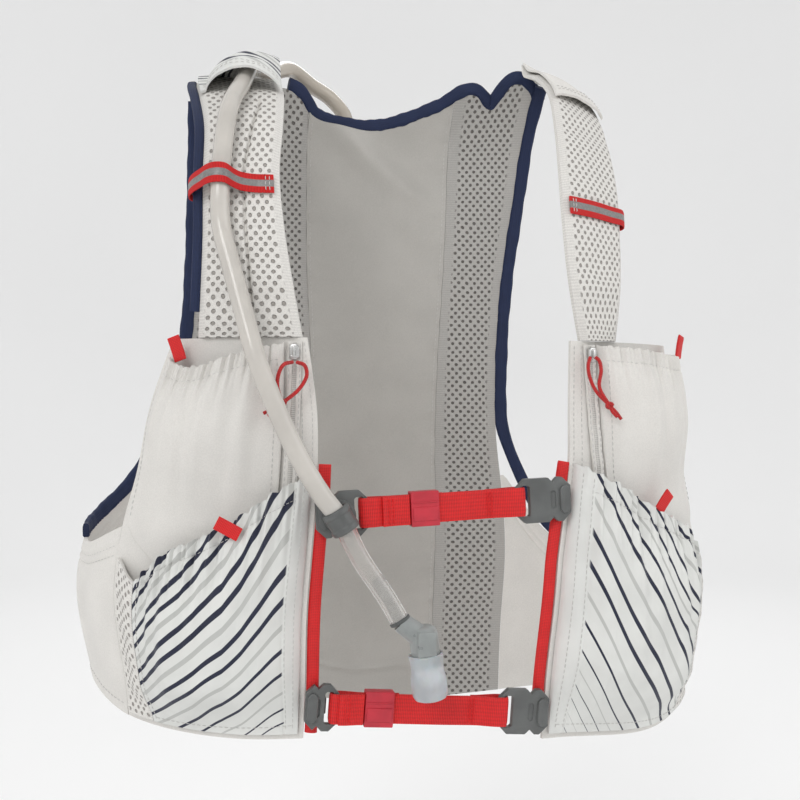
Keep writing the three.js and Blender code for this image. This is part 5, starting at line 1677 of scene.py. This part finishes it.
# Hard pieces, modelled with Blender's own tools
def deselect():
    """Object mode with nothing selected"""
    if bpy.context.object is not None and bpy.context.object.mode != "OBJECT":
        bpy.ops.object.mode_set(mode="OBJECT")
    bpy.ops.object.select_all(action="DESELECT")


def activate(piece):
    """One piece selected and active"""
    deselect()
    piece.select_set(True)
    bpy.context.view_layer.objects.active = piece


def settle(piece, name):
    """A primitive's own name, with its place in its mesh"""
    piece.name = piece.data.name = name
    activate(piece)
    bpy.ops.object.transform_apply(location=True, rotation=True, scale=True)
    return piece


def block(name, size, at=(0, 0, 0), corner=0.0, turn=0.0):
    """A box at its size and place, its upright edges cut back by a corner"""
    deselect()
    bpy.ops.mesh.primitive_cube_add(size=1, location=at, rotation=(0, 0, turn), scale=size)
    piece = settle(bpy.context.object, name)
    if corner:
        mesh = piece.data
        bpy.context.tool_settings.mesh_select_mode = (False, True, False)
        bpy.ops.object.mode_set(mode="EDIT")
        bpy.ops.mesh.select_all(action="DESELECT")
        bpy.ops.object.mode_set(mode="OBJECT")
        for edge in mesh.edges:
            first, second = (mesh.vertices[k].co for k in edge.vertices)
            edge.select = (first.xy - second.xy).length < 1e-7
        bpy.ops.object.mode_set(mode="EDIT")
        bpy.ops.mesh.bevel(offset=corner, offset_type="OFFSET", segments=1, affect="EDGES")
        bpy.ops.object.mode_set(mode="OBJECT")
    return piece


def cut(piece, cutter):
    """Cuts one piece out of another"""
    activate(piece)
    modifier = piece.modifiers.new("Cut", "BOOLEAN")
    modifier.object = cutter
    modifier.solver = "EXACT"
    bpy.ops.object.modifier_apply(modifier=modifier.name)
    bpy.data.objects.remove(cutter, do_unlink=True)


def soften(piece, width, segments=3, angle=28):
    """Rounds a piece's edges and shades them"""
    activate(piece)
    modifier = piece.modifiers.new("Edges", "BEVEL")
    modifier.width = width
    modifier.segments = segments
    modifier.limit_method = "ANGLE"
    modifier.angle_limit = math.radians(angle)
    bpy.ops.object.modifier_apply(modifier=modifier.name)
    bpy.ops.object.shade_smooth_by_angle(angle=math.radians(40))
    return piece


def joined(name, *pieces):
    """One object from several"""
    deselect()
    for piece in pieces:
        piece.select_set(True)
    bpy.context.view_layer.objects.active = pieces[0]
    bpy.ops.object.join()
    pieces[0].name = pieces[0].data.name = name
    return pieces[0]


def turned(name, profile, sides=48):
    """A turned piece: a disc, extruded and scaled through its radii and heights in millimetres"""
    deselect()
    radius, height = profile[0]
    bpy.ops.mesh.primitive_circle_add(vertices=sides, radius=radius * MM, fill_type="NGON")
    piece = bpy.context.object
    bpy.context.tool_settings.mesh_select_mode = (False, False, True)
    bpy.ops.object.mode_set(mode="EDIT")
    bpy.ops.mesh.select_all(action="SELECT")
    bpy.ops.transform.translate(value=(0, 0, height * MM))
    for next_radius, next_height in profile[1:]:
        lift = (0, 0, (next_height - height) * MM)
        bpy.ops.mesh.extrude_region_move(TRANSFORM_OT_translate={"value": lift})
        share = next_radius / radius
        bpy.ops.transform.resize(value=(share, share, 1), center_override=(0, 0, 0))
        radius, height = next_radius, next_height
    bpy.ops.mesh.select_all(action="SELECT")
    bpy.ops.mesh.normals_make_consistent(inside=False)
    bpy.ops.object.mode_set(mode="OBJECT")
    settle(piece, name)
    bpy.ops.object.shade_smooth_by_angle(angle=math.radians(35))
    return piece


def aim(way, at):
    """A matrix that turns Z to a direction and moves it to a point"""
    turn = Vector((0, 0, 1)).rotation_difference(Vector(way).normalized()).to_matrix().to_4x4()
    return Matrix.Translation(Vector(at)) @ turn


def put(piece, matrix):
    """Moves a piece's mesh to its place"""
    piece.data.transform(matrix)
    piece.data.update()
    return piece


# Chest straps: lengths in millimetres, in a frame from the left rail to the right one
CHEST = table(
    "name left_down right_down left_long right_long left_fold right_fold keeper_at",
    ("upper", 0.671, 0.656, 27, 30, 62, 42, 52),
    ("lower", 0.918, 0.94, 17, 27, 44, 38, 33.5),
)
PLATE_BACK, PLATE = 3.5, 4.2
BAR, BAR_SLOT, SLOT_CLEAR = 2.6, 4.6, 0.6
PLATE_MIDDLE = PLATE_BACK + PLATE / 2


def chest_frame(strap):
    """A strap's frame, X along it, Y up, Z to the front; and its span in millimetres"""
    s = sizes()
    start = rail_point("left", -s.vest_height * strap["left_down"], s.cloth / 2)
    end = rail_point("right", -s.vest_height * strap["right_down"], s.cloth / 2)
    x = unit(end - start)
    z = unit(np.cross(x, (0.0, 0.0, 1.0)))
    turn = Matrix.Identity(4)
    for k, column in enumerate((x, np.cross(z, x), z, start)):
        for row in range(3):
            turn[row][k] = float(column[row])
    return turn, float(np.linalg.norm(end - start)) / MM


def strap_bars(strap, span):
    """Where the two bars are, along the strap"""
    left = strap["left_long"] - 3.2 - 1 - BAR / 2
    right = span - (strap["right_long"] - 3.2 - 1 - BAR / 2)
    return left, right


def make_webbing():
    """The chest straps, threaded round the buckles' bars, with their sewn ends"""
    s = sizes()
    half = s.webbing / MM / 2
    front = PLATE_BACK + PLATE + SLOT_CLEAR + half
    back = PLATE_BACK - SLOT_CLEAR - half
    ply = half + 0.15 + 0.1
    turn, lead = BAR / 2 + SLOT_CLEAR + half, 7
    for strap in CHEST:
        frame_turn, span = chest_frame(strap)
        base = np.array(frame_turn)
        left, right = strap_bars(strap, span)

        def round_bar(at, way, fold):
            return [
                (fold, PLATE_MIDDLE - ply), (at + way * lead * 1.9, PLATE_MIDDLE - ply),
                (at + way * lead, mix(PLATE_MIDDLE, back, 0.75)), (at + way * 2.5, back),
                (at - way * turn * 0.7, back + 0.5), (at - way * turn, back + 2.2), (at - way * turn, front - 2.2),
                (at - way * turn * 0.7, front - 0.5), (at + way * 2.5, front),
                (at + way * lead, mix(PLATE_MIDDLE, front, 0.75)), (at + way * lead * 1.9, PLATE_MIDDLE + ply),
            ]

        middle = [(mix(left, right, share), PLATE_MIDDLE + ply) for share in (0.4, 0.6)]
        path = round_bar(left, 1, strap["left_fold"]) + middle
        path += round_bar(right, -1, span - strap["right_fold"])[::-1]

        def to_world(a, b, c):
            sag = 0.25 * np.sin(np.asarray(a) / MM / 9) * MM
            return np.stack([a, c, b + sag], -1) @ base[:3, :3].T + base[:3, 3]

        path = [(a * MM, b * MM) for a, b in path]
        piece, _ = ribbon(f"{strap['name']}_webbing", path, s.webbing * 0.94, s.webbing_width, to_world, 260, 14)
        dress(piece, Vest.finish("webbing"), [f"{strap['name']}_strap"])
        top = PLATE_MIDDLE + ply + half
        slope = ((left + 2.5, left + lead, left + lead * 1.9), (front, mix(PLATE_MIDDLE, front, 0.75), PLATE_MIDDLE + ply))
        tip_end = strap["keeper_at"] - 8.3
        stations = np.linspace(tip_end - min(14, tip_end - left - 1), tip_end, 5)
        rise = np.interp(stations, *slope) + half + np.array([0.5, 0.8, 0.9, 1.0, 1.5])
        tip = [(a * MM, b * MM) for a, b in zip(stations, rise)]
        end, _ = ribbon(f"{strap['name']}_webbing_end", tip, 1.5 * MM, s.webbing_width * 1.02, to_world, 60, 14)
        dress(end, Vest.finish("webbing"), [])
        rows = []
        for a in (stations[1], stations[1] + 2.2, right - 15, right - 17):
            lift = float(np.interp(a, *slope)) - PLATE_MIDDLE - ply + 1.6 if a < span / 2 else 0.0
            up = np.linspace(-6.6, 6.6, 30) * MM
            low = to_world(0 * up + a * MM, 0 * up + (top + lift) * MM, up)
            high = to_world(0 * up + a * MM, 0 * up + (top + lift + 1) * MM, up)
            rows.append((low, unit(high - low)))
        stitches(f"{strap['name']}_webbing_seams", rows, Vest.finish("red thread"), 0.6 * MM, 2.6 * MM)


def make_keepers():
    """The rubber keepers: one sleeve, modelled once and copied"""
    s = sizes()
    tall, deep = s.webbing_width + 0.6 * MM, 2 * s.webbing + 1.1 * MM
    outer = block("keeper_sleeve", (15 * MM, tall + 2.4 * MM, deep + 2.4 * MM))
    cut(outer, block("keeper_hole", (30 * MM, tall, deep)))
    soften(outer, 0.7 * MM, 4)
    tongue = soften(block("keeper_tongue", (13 * MM, 7 * MM, 0.9 * MM), (0, -2.6 * MM, deep / 2 + 1.35 * MM)), 0.4 * MM)
    ridge = soften(block("keeper_ridge", (14.4 * MM, 0.7 * MM, 0.8 * MM), (0, 3.4 * MM, deep / 2 + 1.3 * MM)), 0.3 * MM)
    model = joined("keeper_model", outer, tongue, ridge)
    for strap in CHEST:
        frame_turn, _ = chest_frame(strap)
        place = frame_turn @ Matrix.Translation((strap["keeper_at"] * MM, 0, PLATE_MIDDLE * MM))
        piece = link(f"{strap['name']}_rubber_keeper", model.data.copy())
        put(piece, place)
        dress(piece, Vest.finish("keeper"), [f"{strap['name']}_keeper"])
    bpy.data.objects.remove(model, do_unlink=True)


def buckle(name, long):
    """A ladder-lock buckle in millimetres: its hook end at X = -4.2, its slot at the far end"""
    tall = 15 + 2 * SLOT_CLEAR + 7.2
    middle = long / 2 - 4.2
    z = (PLATE_BACK + PLATE / 2) * MM
    plate = block(name, (long * MM, tall * MM, PLATE * MM), (middle * MM, 0, z), 4.6 * MM)
    slot_at = (middle + long / 2 - BAR - BAR_SLOT / 2) * MM
    slot_size = (BAR_SLOT * MM, (15 + 2 * SLOT_CLEAR) * MM, 20 * MM)
    cut(plate, block(name + "_slot", slot_size, (slot_at, 0, z), 0.9 * MM))
    notch_at = min(5.6, long - 15) * MM
    for sign in (-1, 1):
        notch = block(name + "_notch", (5.4 * MM, 5.4 * MM, 20 * MM), (notch_at, sign * (tall / 2 + 1.3) * MM, z), 0, math.pi / 4)
        cut(plate, notch)
    hollow = block(name + "_hollow", (2.6 * MM, 9 * MM, 1.6 * MM), (notch_at, 0, (PLATE_BACK + PLATE) * MM), 0.8 * MM)
    cut(plate, hollow)
    soften(plate, 0.75 * MM, 4)
    ridge = soften(
        block(name + "_ridge", (5.6 * MM, 15 * MM, 3 * MM), (-0.6 * MM, 0, (PLATE_BACK + PLATE) * MM), 2 * MM), 1.1 * MM, 4
    )
    reach = 3.2 + 1.8
    lip = soften(
        block(name + "_lip", (1.8 * MM, 8 * MM, (2 * PLATE_BACK + 2) * MM), ((reach + 0.9) * MM, 0, -0.8 * MM)), 0.5 * MM
    )
    hook = soften(block(name + "_hook", (4.2 * MM, 8 * MM, 1.8 * MM), ((reach - 0.3) * MM, 0, -4.4 * MM)), 0.5 * MM)
    return joined(name, plate, ridge, lip, hook)


def make_buckles():
    """The grey buckles, the right ones turned round"""
    for strap in CHEST:
        frame_turn, span = chest_frame(strap)
        for side in ("left", "right"):
            name = f"{strap['name']}_{side}_buckle"
            piece = buckle(name, strap[side + "_long"])
            if side == "right":
                mirror = Matrix.Diagonal((-1, 1, 1, 1))
                piece.data.transform(Matrix.Translation((span * MM, 0, 0)) @ mirror)
                piece.data.flip_normals()
            put(piece, frame_turn)
            dress(piece, Vest.finish("plastic"), [f"{strap['name']}_buckle_{side}"])


def make_sliders():
    """The zip sliders: one body with its bridge, modelled once and copied"""
    s = sizes()
    body = soften(block("slider_body", (5.4 * MM, 8 * MM, 1.7 * MM), (0, 0, 0.95 * MM), 1.4 * MM), 0.45 * MM)
    bridge = soften(block("slider_bridge", (1.9 * MM, 5.6 * MM, 1.5 * MM), (0, 0.3 * MM, 2.3 * MM)), 0.5 * MM)
    collar = soften(block("slider_collar", (3.4 * MM, 1.2 * MM, 2.0 * MM), (0, -2.4 * MM, 1.9 * MM)), 0.4 * MM)
    model = joined("slider_model", body, bridge, collar)
    for side in ("left", "right"):
        turn = surface_frame(ZIP_ANGLE[side], -s.vest_height * 0.46, seat() + ZIP_TAPE + SEAM_GAP)
        piece = put(link(f"slider_{side}", model.data.copy()), turn)
        dress(piece, Vest.finish("metal"), [f"zip_slider_{side}"])
    bpy.data.objects.remove(model, do_unlink=True)


def make_zip_cords():
    """The red pull cords: a loop through the slider, a knot and two tails"""
    radius = 1 * MM
    for side in ("left", "right"):
        points = ZIP_CORD[side]
        first, long_first = spline(points[:5], 46)
        second, long_second = spline(points[4:], 46)
        path = np.concatenate([first, second[1:]])
        loop = tube(f"pull_cord_{side}", path, radius, 14)
        dress(loop, Vest.finish("braid"), [f"zip_cord_{side}"])
        knot_at = np.array(points[4])
        t = np.linspace(0, 3.6 * np.pi, 60)
        wound = np.stack([1.25 * np.cos(t), 2.4 * (t / t[-1] - 0.5), 1.25 * np.sin(t)], -1) * MM
        knot = tube(f"pull_knot_{side}", knot_at + wound, 0.95 * MM, 12)
        dress(knot, Vest.finish("braid"), [])
        for k, shift in enumerate((-1.1, 1.1)):
            tip = np.array(ZIP_TAIL[side]) + np.array([shift, 0, 0.6 * abs(shift - 1)]) * MM
            bent = (knot_at + tip) / 2 + np.array([0.6 * shift, -0.4, -0.3]) * MM
            tail_path, _ = spline([knot_at, bent, tip], 16)
            tail = tube(f"pull_tail_{side}_{k}", tail_path, 0.9 * MM, 12)
            dress(tail, Vest.finish("braid"), [])


def hose_run(index):
    """Millimetres along the hose to one of its points"""
    return spline(HOSE[: index + 1], 2)[1] / MM


def make_hose():
    """The drinking hose, with the barb in its end and the valve on it"""
    s = sizes()
    path, length = spline(HOSE, 260)
    radius = s.hose / 2
    hose = tube("hose_tube", path, radius, 32, inner=radius * 0.62)
    dress(hose, Vest.finish("hose"), ["hose"])
    end = Vector(path[-1])
    way = (end - Vector(path[-4])).normalized()
    ribs = []
    for k in range(6):
        ribs += [(2.3, 3.6 * k), (3.0, 3.6 * k + 3.2)]
    barb = put(turned("hose_barb", [*ribs, (2.6, 24), (2.6, 25)], 32), aim(way, end - way * 24.6 * MM))
    dress(barb, Vest.finish("barb"), [])
    ring_profile = [(5.2, 0), (5.5, 0.3), (5.5, 1.5), (5.2, 1.8)]
    ring = put(turned("hose_ring", ring_profile), aim(way, end - way * 1.2 * MM))
    dress(ring, Vest.finish("ring"), [])
    barrel_profile = [
        (2.5, -10), (4.6, -9.6), (6.1, -8.6), (7, -7), (7.3, -5), (7.3, 2.6), (7.05, 2.8), (7.05, 3.4), (7.3, 3.6),
        (7.3, 9.6), (6.9, 10),
    ]
    barrel = put(turned("valve_barrel_body", barrel_profile), aim(BARREL_WAY, BARREL_AT))
    start = end + way * SEAM_GAP
    sleeve_way = BARREL_AT - BARREL_WAY * 3 * MM - start
    long = sleeve_way.length / MM
    sleeve = put(turned("valve_sleeve", [(4.8, 0), (5.1, 0.5), (5.6, 0.6 * long), (6.2, long)]), aim(sleeve_way, start))
    pad_size, pad_at = (9.6 * MM, 3 * MM, 13 * MM), BARREL_AT + Vector((0, -6.4 * MM, 1.4 * MM))
    pad = soften(block("valve_pad", pad_size, pad_at), 1.3 * MM, 4)
    elbow = joined("valve_barrel", barrel, sleeve, pad)
    dress(elbow, Vest.finish("valve"), ["valve_elbow"])
    cap_profile = [
        (3, 0.4), (6.2, 0), (7.8, 0.7), (8.7, 2.4), (9, 5), (9, 9), (8.8, 11.6), (8.35, 13.4), (8.2, 16), (8.35, 20),
        (8.75, 22.6), (8.5, 23), (7.8, 23), (7.6, 22.6), (7.6, 17.2), (6.8, 17),
    ]
    base = BARREL_AT + BARREL_WAY * (10 * MM + SEAM_GAP + 17 * MM)
    cap = put(turned("valve_soft_cap", cap_profile, 64), aim(-BARREL_WAY, base))
    dress(cap, Vest.finish("cap"), ["valve_cap"])


def make_port():
    """The sleeve where the hose leaves the pouch"""
    s = sizes()
    base = Vector((HOSE[0][0], HOSE[0][1], -s.vest_height * 0.09 + SEAM_GAP))
    profile = [
        (6.8, 0), (7.5, 0.5), (7.5, 2.6), (7, 3.1), (7, 4.6), (7.3, 4.9), (7.3, 6), (7, 6.3), (7, 10), (7.4, 10.5),
        (7.2, 12), (5.6, 12), (5.4, 9.5),
    ]
    piece = put(turned("port_sleeve", profile), Matrix.Translation(base))
    dress(piece, Vest.finish("port"), ["hose_port"])


def make_clip():
    """The clip on the upper left buckle: a disc, a stem and the cuff round the hose"""
    s = sizes()
    frame_turn, span = chest_frame(CHEST[0])
    back = frame_turn.inverted()
    at = back @ Vector(HOSE[CLIP_INDEX])
    way = back.to_3x3() @ (Vector(HOSE[CLIP_INDEX + 1]) - Vector(HOSE[CLIP_INDEX - 1])).normalized()
    face = (PLATE_BACK + PLATE + 0.4) * MM
    disc_profile = [(7.4, 0), (8.3, 0.6), (8.3, 1.9), (7.7, 2.6), (5.6, 2.6), (5.3, 2.1), (2, 2.1)]
    disc = put(turned("clip_disc", disc_profile), Matrix.Translation((at.x + MM, at.y + MM, face)))
    long = max(1 * MM, at.z - face - s.hose / 2)
    stem = soften(block("clip_stem", (8 * MM, 8 * MM, long), (at.x, at.y, face + long / 2), MM), 0.3 * MM)
    cuff = turned("clip_cuff", [(6.7, -6.25), (7.3, -5.6), (7.3, -3.2), (6.9, -2.8), (6.9, 2.8), (7.3, 3.2), (7.3, 5.6), (6.7, 6.25)])
    cut(cuff, turned("clip_bore", [(5.35, -20), (5.35, 20)]))
    soften(cuff, 0.3 * MM, 2)
    put(cuff, aim(way, at))
    clip = joined("hose_holder", disc, stem, cuff)
    left = strap_bars(CHEST[0], span)[0]
    top = (PLATE_BACK + PLATE + SLOT_CLEAR + s.webbing / MM + 0.3) * MM
    relief_at = ((left - 4) * MM + 30 * MM, 0, top / 2)
    cut(clip, block("clip_relief", (60 * MM, 16.4 * MM, top), relief_at))
    put(clip, frame_turn)
    activate(clip)
    bpy.ops.object.shade_smooth_by_angle(angle=math.radians(35))
    dress(clip, Vest.finish("plastic"), ["hose_clip"])


# Stage
def add_light(name, at, size, power):
    """A soft light that looks at the vest"""
    data = bpy.data.lights.new(name, "AREA")
    data.shape = "DISK"
    data.size = size
    data.energy = power
    lamp = link(name, data)
    lamp.location = at
    lamp.rotation_euler = (Vector((0, 0, -0.2)) - Vector(at)).to_track_quat("-Z", "Y").to_euler()
    return lamp


def make_stage():
    """The camera of the photograph, soft light and a pale floor that curves up all round"""
    stage = bpy.context.scene.vest_stage
    data = bpy.data.cameras.new("photo_camera")
    data.sensor_width = 36
    data.lens = 36 * PHOTO_SCALE / 800
    camera = link("photo_camera", data)
    camera.location = CAMERA_AT
    camera.rotation_euler = CAMERA_WAY.to_track_quat("-Z", "Y").to_euler()
    bpy.context.scene.camera = camera
    world = bpy.data.worlds.new("soft white")
    world.use_nodes = True
    world.node_tree.nodes["Background"].inputs["Color"].default_value = (1, 1, 1, 1)
    world.node_tree.nodes["Background"].inputs["Strength"].default_value = 0.72
    bpy.context.scene.world = world
    bpy.context.scene.view_settings.view_transform = "Standard"
    lights = [
        add_light("key_light", (-1.1, -1.6, 1.1), 1.1, stage.light),
        add_light("side_light", (1.5, -1.0, 0.5), 1.2, stage.light * 0.35),
        add_light("back_light", (0.3, 1.5, 1.2), 1.2, stage.light * 0.6),
    ]
    low = -stage.floor_drop
    bend = np.linspace(0, np.pi / 2, 16)
    reach = np.concatenate([[0.001, 0.6, 1.2, 1.8], 2.0 + 0.8 * np.sin(bend), [2.8]])
    height = np.concatenate([[low] * 4, low + 0.8 * (1 - np.cos(bend)), [1.4]])
    turn = 2 * np.pi * np.arange(96) / 96
    points = np.stack(
        [reach[:, None] * np.cos(turn), reach[:, None] * np.sin(turn), height[:, None] + 0 * turn], -1
    )
    faces = grid_faces(96, len(reach) - 1, wrap=True)
    floor = mesh_piece("floor", points, faces, sharp=180)
    floor.data.materials.append(Vest.finish("floor"))


def done(*names):
    """Raises an error unless the pieces are in the scene"""
    missing = [name for name in names if name not in bpy.data.objects]
    if missing:
        raise RuntimeError("not made: " + ", ".join(missing))
    return {"FINISHED"}


class VEST_OT_stage(bpy.types.Operator):
    """Set up the camera, the lights and the floor"""

    bl_idname = "vest.stage"
    bl_label = "Stage"

    def execute(self, context):
        make_stage()
        return done("photo_camera", "floor")


class VEST_OT_hose(bpy.types.Operator):
    """Make the drinking hose with its barb and bite valve"""

    bl_idname = "vest.hose"
    bl_label = "Hose and valve"

    def execute(self, context):
        make_hose()
        return done("hose_tube", "valve_barrel", "valve_soft_cap")


class VEST_OT_zip_cords(bpy.types.Operator):
    """Make the red pull cords of the zips"""

    bl_idname = "vest.zip_cords"
    bl_label = "Zip cords"

    def execute(self, context):
        make_zip_cords()
        return done("pull_cord_left", "pull_cord_right")


class VEST_OT_back(bpy.types.Operator):
    """Make the smooth back and the mesh strips beside it"""

    bl_idname = "vest.back"
    bl_label = "Back"

    def execute(self, context):
        make_back()
        return done("smooth_back")


class VEST_OT_pouch(bpy.types.Operator):
    """Make the plain pouch behind the back"""

    bl_idname = "vest.pouch"
    bl_label = "Pouch"

    def execute(self, context):
        make_pouch()
        return done("pouch_cloth")


class VEST_OT_sides(bpy.types.Operator):
    """Make the side panels with their sewn folds"""

    bl_idname = "vest.sides"
    bl_label = "Sides"

    def execute(self, context):
        make_sides()
        return done("side_cloth_left", "side_cloth_right")


class VEST_OT_fronts(bpy.types.Operator):
    """Make the front panels that the pockets are sewn on"""

    bl_idname = "vest.fronts"
    bl_label = "Fronts"

    def execute(self, context):
        make_fronts()
        return done("front_cloth_left", "front_cloth_right")


class VEST_OT_upper_pockets(bpy.types.Operator):
    """Make the plain upper pockets with their gathered mouths"""

    bl_idname = "vest.upper_pockets"
    bl_label = "Upper pockets"

    def execute(self, context):
        make_upper_pockets()
        return done("upper_pocket_cloth_left", "upper_pocket_cloth_right")


class VEST_OT_lower_pockets(bpy.types.Operator):
    """Make the striped lower pockets with their ruffled mouths"""

    bl_idname = "vest.lower_pockets"
    bl_label = "Lower pockets"

    def execute(self, context):
        make_lower_pockets()
        return done("lower_pocket_cloth_left", "lower_pocket_cloth_right")


class VEST_OT_gussets(bpy.types.Operator):
    """Make the mesh gussets beside the lower pockets"""

    bl_idname = "vest.gussets"
    bl_label = "Gussets"

    def execute(self, context):
        make_gussets()
        return done("gusset_mesh_left", "gusset_mesh_right")


class VEST_OT_straps(bpy.types.Operator):
    """Make the padded shoulder straps"""

    bl_idname = "vest.straps"
    bl_label = "Shoulder straps"

    def execute(self, context):
        make_straps()
        return done("strap_pad_left", "strap_pad_right", "strap_edge_left")


class VEST_OT_yokes(bpy.types.Operator):
    """Make the cloth on the shoulder tops"""

    bl_idname = "vest.yokes"
    bl_label = "Yokes"

    def execute(self, context):
        make_yokes()
        return done("striped_yoke", "plain_yoke")


class VEST_OT_bindings(bpy.types.Operator):
    """Make the navy bindings of the neck and the armholes"""

    bl_idname = "vest.bindings"
    bl_label = "Bindings"

    def execute(self, context):
        make_bindings()
        return done("neck_edge", "armhole_edge_left", "armhole_edge_right")


class VEST_OT_loops(bpy.types.Operator):
    """Make the ribbon loops round the straps"""

    bl_idname = "vest.loops"
    bl_label = "Strap loops"

    def execute(self, context):
        make_loops()
        return done("loop_ribbon_left", "loop_ribbon_right")


class VEST_OT_zips(bpy.types.Operator):
    """Make the zip tapes, their coils and their sliders"""

    bl_idname = "vest.zips"
    bl_label = "Zips"

    def execute(self, context):
        make_zips()
        make_sliders()
        return done("zip_tape_left", "zip_tape_right", "slider_left", "slider_right")


class VEST_OT_tabs(bpy.types.Operator):
    """Make the red tabs at the pocket mouths"""

    bl_idname = "vest.tabs"
    bl_label = "Pocket tabs"

    def execute(self, context):
        make_tabs()
        return done("tab_upper_left", "tab_lower_right")


class VEST_OT_rails(bpy.types.Operator):
    """Make the red rails along the opening and their end tabs"""

    bl_idname = "vest.rails"
    bl_label = "Rails"

    def execute(self, context):
        make_rails()
        return done("cord_rail_left", "cord_rail_right")


class VEST_OT_webbing(bpy.types.Operator):
    """Make the red webbing of the chest straps"""

    bl_idname = "vest.webbing"
    bl_label = "Chest webbing"

    def execute(self, context):
        make_webbing()
        return done("upper_webbing", "lower_webbing")


class VEST_OT_keepers(bpy.types.Operator):
    """Make the rubber keepers on the chest straps"""

    bl_idname = "vest.keepers"
    bl_label = "Keepers"

    def execute(self, context):
        make_keepers()
        return done("upper_rubber_keeper", "lower_rubber_keeper")


class VEST_OT_buckles(bpy.types.Operator):
    """Make the four buckles"""

    bl_idname = "vest.buckles"
    bl_label = "Buckles"

    def execute(self, context):
        make_buckles()
        return done("upper_left_buckle", "lower_right_buckle")


class VEST_OT_fittings(bpy.types.Operator):
    """Make the hose port and the hose clip"""

    bl_idname = "vest.fittings"
    bl_label = "Hose fittings"

    def execute(self, context):
        make_port()
        make_clip()
        return done("port_sleeve", "hose_holder")


OPERATORS = (
    VEST_OT_stage, VEST_OT_hose, VEST_OT_zip_cords, VEST_OT_back, VEST_OT_pouch, VEST_OT_sides, VEST_OT_fronts,
    VEST_OT_upper_pockets, VEST_OT_lower_pockets, VEST_OT_gussets, VEST_OT_straps, VEST_OT_yokes, VEST_OT_bindings,
    VEST_OT_loops, VEST_OT_zips, VEST_OT_tabs, VEST_OT_rails, VEST_OT_webbing, VEST_OT_keepers, VEST_OT_buckles,
    VEST_OT_fittings,
)


class VEST_PT_panel(bpy.types.Panel):
    """The vest's sizes, colours and pieces"""

    bl_idname = "VEST_PT_panel"
    bl_label = "Running hydration vest"
    bl_space_type = "VIEW_3D"
    bl_region_type = "UI"
    bl_category = "Vest"

    def draw(self, context):
        for operator in OPERATORS:
            self.layout.operator(operator.bl_idname)
        for group in (context.scene.vest_sizes, context.scene.vest_colours, context.scene.vest_stage):
            box = self.layout.box()
            for key in group.bl_rna.properties.keys():
                if key not in ("rna_type", "name"):
                    box.prop(group, key)


GROUPS = {"vest_sizes": VestSizes, "vest_colours": VestColours, "vest_stage": VestStage}
CLASSES = (*GROUPS.values(), *OPERATORS, VEST_PT_panel)


def register():
    """Adds the classes and the scene's properties"""
    for kind in CLASSES:
        bpy.utils.register_class(kind)
    for key, kind in GROUPS.items():
        setattr(bpy.types.Scene, key, PointerProperty(type=kind))


def unregister():
    """Takes them away again"""
    for key in GROUPS:
        delattr(bpy.types.Scene, key)
    for kind in reversed(CLASSES):
        bpy.utils.unregister_class(kind)


def main():
    """Makes the stage and every piece"""
    register()
    bpy.ops.vest.stage()
    bpy.ops.vest.hose()
    bpy.ops.vest.zip_cords()
    bpy.ops.vest.back()
    bpy.ops.vest.pouch()
    bpy.ops.vest.sides()
    bpy.ops.vest.fronts()
    bpy.ops.vest.upper_pockets()
    bpy.ops.vest.lower_pockets()
    bpy.ops.vest.gussets()
    bpy.ops.vest.straps()
    bpy.ops.vest.yokes()
    bpy.ops.vest.bindings()
    bpy.ops.vest.loops()
    bpy.ops.vest.zips()
    bpy.ops.vest.tabs()
    bpy.ops.vest.rails()
    bpy.ops.vest.webbing()
    bpy.ops.vest.keepers()
    bpy.ops.vest.buckles()
    bpy.ops.vest.fittings()


if __name__ == "__main__":
    main()
